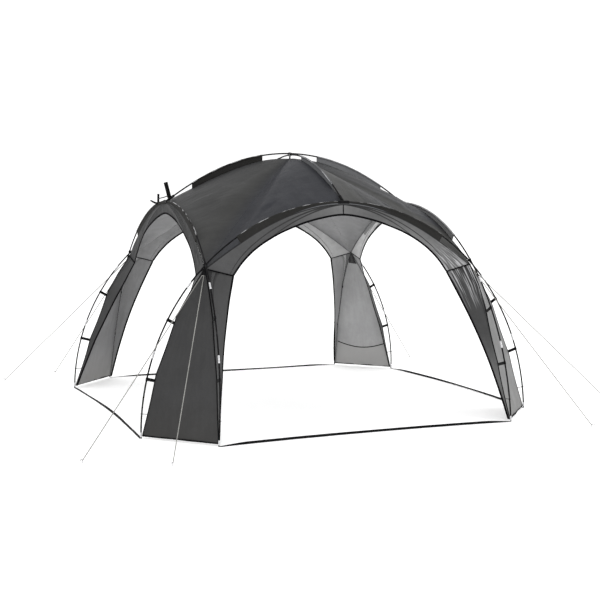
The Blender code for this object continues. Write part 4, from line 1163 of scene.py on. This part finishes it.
crossing = pole_crossing()
cross_axis = Vector((-0.41, -0.41, 0.81)).normalized()
patch_length, patch_half, patch_thick = 0.055, 0.027, 0.0023
patch_finish = webbing_finish("guy_patch", (0.007, 0.007, 0.0075), 0.05)
# The sheet inside each leg is painted shade, the guy patch's shadow through the cloth.
patch_shadow_sheet = webbing_finish("patch_shadow_sheet", (0.045, 0.045, 0.0455), 0.02)
guy_start = {}
for corner in corners:
    bm = bmesh.new()
    centre = mirrored(crossing, corner)
    loop_round(bm, centre, mirrored(cross_axis, corner), 0.0152, 0.007, 0.0014, Vector((0, 0, 1)))
    head, low = leg_row(1.0), [mirrored(spot, corner) for spot in leg_row(7 / 8, leg_slack[corner])]
    top = mirrored((head[1] + head[2]) / 2, corner)
    side_way = (low[2] - low[1]).normalized()
    down = ((low[1] + low[2]) / 2 - top).normalized()
    out = side_way.cross(down).normalized()
    out = out if out.z > 0 else -out
    lift = (centre - top).dot(out) - 0.0166
    path, sizes = [], []
    for depth, half, stand in ((-0.036, 0.0055, lift), (-0.018, 0.006, lift * 0.45 + 0.003), (0.001, 0.0078, 0.0068),
                               (0.02, 0.012, 0.0022), (0.037, 0.0195, 0.0018), (patch_length, patch_half, 0.0018)):
        lean = side_way * (centre - top).dot(side_way) * max(0.0, -depth / 0.036)
        path.append(top + down * depth + out * stand + lean)
        sizes.append((half, patch_thick / 2))
    draw_out(bm, path, out, sizes, 16, 0.5)
    outside = len(bm.faces)
    # Painted shade: a grey sheet inside the leg where the patch's shadow shows through the cloth.
    patch_shadow_path = [top + down * (0.012 + 0.12 * j / 8) - out * 0.0045 for j in range(9)]
    draw_out(bm, patch_shadow_path, out, [(0.012 + 0.0042 * j, 0.0011) for j in range(9)], 16, 0.5)
    bm.faces.ensure_lookup_table()
    for face in bm.faces[outside:]:
        face.material_index = 1
    made("corner_tie_loop_" + corner, bm, [patch_finish, patch_shadow_sheet], "webbing", "corner_tie_" + corner)
    guy_start[corner] = path[-1] + out * patch_thick / 2


# Guys and pegs
# Each guy is one length of thin three-strand cord, doubled through the patch and drawn down to two
# bent steel pegs, one in line with each arch.
guy_radius, guy_bend = 0.0034, 0.007
peg_radius = 0.004
peg_shape = ((0.001, 0.0), (0.012, 0.0), (0.02, 0.0), (0.0255, 0.002), (0.0276, 0.007), (0.0278, 0.014),
             (0.0262, 0.0195), (0.0205, 0.0238))


def guy_cord():
    """Pale laid polypropylene cord, its strands winding round it."""
    finish = Finish("guy_cord", (0.33, 0.32, 0.29), 0.7, **{"Sheen Weight": 0.2})
    parts = finish.add("ShaderNodeSeparateXYZ", {0: finish.spots(1.0, (1, 1, 1))}).outputs
    turn = finish.maths("MULTIPLY_ADD", parts["Y"], 70.0, parts["X"])
    wave = finish.maths("SINE", finish.maths("MULTIPLY", turn, 18.8496))
    tone = finish.sum((wave, 0.25), (finish.speckle(6.0, 4.0, 0.6), 0.9))
    pale = [(0.15, (0.13, 0.126, 0.115)), (0.45, (0.26, 0.255, 0.24)), (0.8, (0.4, 0.395, 0.375))]
    finish.paint(finish.ramp(tone, pale))
    finish.relief(wave, 0.0005, 0.9)
    return finish.material


def peg_steel():
    """Zinc-plated wire, dull, with rubbed bright spots and a little soil."""
    finish = Finish("peg_steel", (0.5, 0.5, 0.51), 0.38, 0.9)
    wear_and_highlight = finish.speckle(120.0, 5.0, 0.7)
    finish.paint(finish.ramp(wear_and_highlight, [(0.3, (0.24, 0.22, 0.2)), (0.5, (0.45, 0.45, 0.46)), (0.75, (0.68, 0.68, 0.69))]))
    finish.gloss(wear_and_highlight, 0.25, 0.55)
    finish.relief(wear_and_highlight, 0.0003, 0.5)
    return finish.material


cord_finish, peg_finish = guy_cord(), peg_steel()
for corner, (sx, sy) in corners.items():
    feet = []
    for place in ("_side", "_end"):
        node = "ground_peg_" + corner + place
        low_box, high_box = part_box(node)
        reach = Vector((low_box.x + high_box.x, low_box.y + high_box.y, 0)) / 2
        away = reach.normalized()
        foot = reach - away * 0.0105
        feet.append(foot)
        up = Vector((0, 0, 1))
        path = [foot + up * rise + away * out for rise, out in peg_shape]
        sizes = [peg_radius * 0.8] * 7 + [peg_radius * 0.64]
        drawn("bent_peg_" + corner + place, path, up.cross(away), sizes, peg_finish, "peg", node, sides=14, boxed=1.0)
    outward = Vector((sx, sy, 0)).normalized()
    right_way = Vector((-sy, sx, 0)).normalized()
    if (feet[0] - feet[1]).dot(right_way) < 0:
        feet.reverse()
    apex = guy_start[corner] + outward * 0.002 - Vector((0, 0, 0.002))
    arc = [apex + right_way * (guy_bend * math.cos(a)) - outward * (guy_bend * (math.sin(a) - 1) * 0.5)
           for a in [math.pi * j / 10 for j in range(11)]]
    ends = []
    for foot, top in zip(feet, (arc[0], arc[-1])):
        low = foot + Vector((0, 0, 0.016))
        ends.append(low + (top - low).normalized() * 0.0045)
    path = [ends[0].lerp(arc[0], j / 14) for j in range(14)] + arc
    path += [arc[-1].lerp(ends[1], j / 14) for j in range(1, 15)]
    drawn("guy_cord_" + corner, path, carried(path, outward), guy_radius, cord_finish, "cord", "guy_lines_" + corner,
          sides=10, boxed=1.0)


# Ground straps
# Flat webbing from foot to foot keeps the legs from spreading. It rolls onto its edge between the
# eyelets, so it lies in a slack curve with a few slow turns.
strap_bows = (-0.05, 0.07, -0.03, -0.042)
strap_turns = (74, 74, 60, 16)
strap_half, strap_thick = 0.0105, 0.0014
for k, side_name in enumerate(side_names):
    end = arch_plane - stepped(k) - foot_radius - 0.0006
    path, faces = [], []
    for t in [j / 120 for j in range(121)]:
        y = -(half_span + strap_bows[k] * math.sin(math.pi * t))
        rolled = min(1.0, 9 * min(t, 1 - t))
        turn = math.radians(strap_turns[k] + 14 * math.sin(9 * t + k)) * rolled
        tall = strap_half * math.sin(turn) + 0.0016 * math.cos(turn)
        sway = 0.003 * rolled * noise.noise(Vector((t * 14, k, 0)))
        path.append(turned(k) @ Vector((-end + 2 * end * t, y + sway, tall)))
        faces.append(turned(k) @ Vector((0, -math.sin(turn), math.cos(turn))))
    drawn("rolled_strap_" + side_name, path, faces, (strap_half, strap_thick), strap_finish, "webbing",
          "ground_strap_" + side_name)


# Floor, light and view
# A plain pale floor and soft light from all round, with a large soft light from the upper right and a
# fainter one from in front.
floor = bmesh.new()
bmesh.ops.create_grid(floor, x_segments=1, y_segments=1, size=60.0)
floor_mesh = bpy.data.meshes.new("floor")
floor.to_mesh(floor_mesh)
floor.free()
paper = Finish("pale_floor", (0.94, 0.94, 0.94), 0.9, **{"Emission Color": (1, 1, 1, 1), "Emission Strength": 0.3})
paper.paint(paper.ramp(paper.speckle(3.0, 2.0), [(0.3, (0.93, 0.93, 0.93)), (0.7, (0.955, 0.955, 0.955))]))
floor_mesh.materials.append(paper.material)
set_up("floor", floor_mesh)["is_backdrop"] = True

bpy.context.scene.view_settings.view_transform = "Standard"
world = bpy.data.worlds.new("soft_studio")
bpy.context.scene.world = world
world.use_nodes = True
world.node_tree.nodes["Background"].inputs["Color"].default_value = (1, 1, 1, 1)
world.node_tree.nodes["Background"].inputs["Strength"].default_value = 1.12


def soft_light(name, place, aim, size, power):
    lamp = bpy.data.lights.new(name, "AREA")
    lamp.shape = "DISK"
    lamp.size = size
    lamp.energy = power
    light = set_up(name, lamp)
    light.location = place
    light.rotation_mode = "QUATERNION"
    light.rotation_quaternion = (Vector(aim) - Vector(place)).to_track_quat("-Z", "Y")


soft_light("key_light", (8.0, -4.0, 5.0), (1.2, -0.4, 1.2), 4.0, 130.0)
soft_light("fill_light", (-3.0, -12.0, 5.0), (0.0, 0.5, 1.0), 5.0, 60.0)

look_yaw, look_pitch, look_roll = (math.radians(angle) for angle in (-23.1406, -4.985, 0.3197))
focal_pixels, picture_pixels = 1081.753, 600
ahead = Vector((-math.sin(look_yaw) * math.cos(look_pitch), math.cos(look_yaw) * math.cos(look_pitch),
                math.sin(look_pitch)))
level = Vector((math.cos(look_yaw), math.sin(look_yaw), 0))
upward = level.cross(ahead)
right_hand = level * math.cos(look_roll) + upward * math.sin(look_roll)
top_hand = upward * math.cos(look_roll) - level * math.sin(look_roll)
lens = bpy.data.cameras.new("camera")
lens.sensor_width = 36.0
lens.lens = focal_pixels / picture_pixels * lens.sensor_width
camera = set_up("camera", lens)
stand = Matrix((right_hand, top_hand, -ahead)).transposed().to_4x4()
stand.translation = Vector((-3.8483, -9.2623, 1.7901))
camera.matrix_world = stand
bpy.context.scene.camera = camera

sizes = {"cad": [list(corner) for corner in packed_box], "visual": [list(corner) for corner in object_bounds()]}
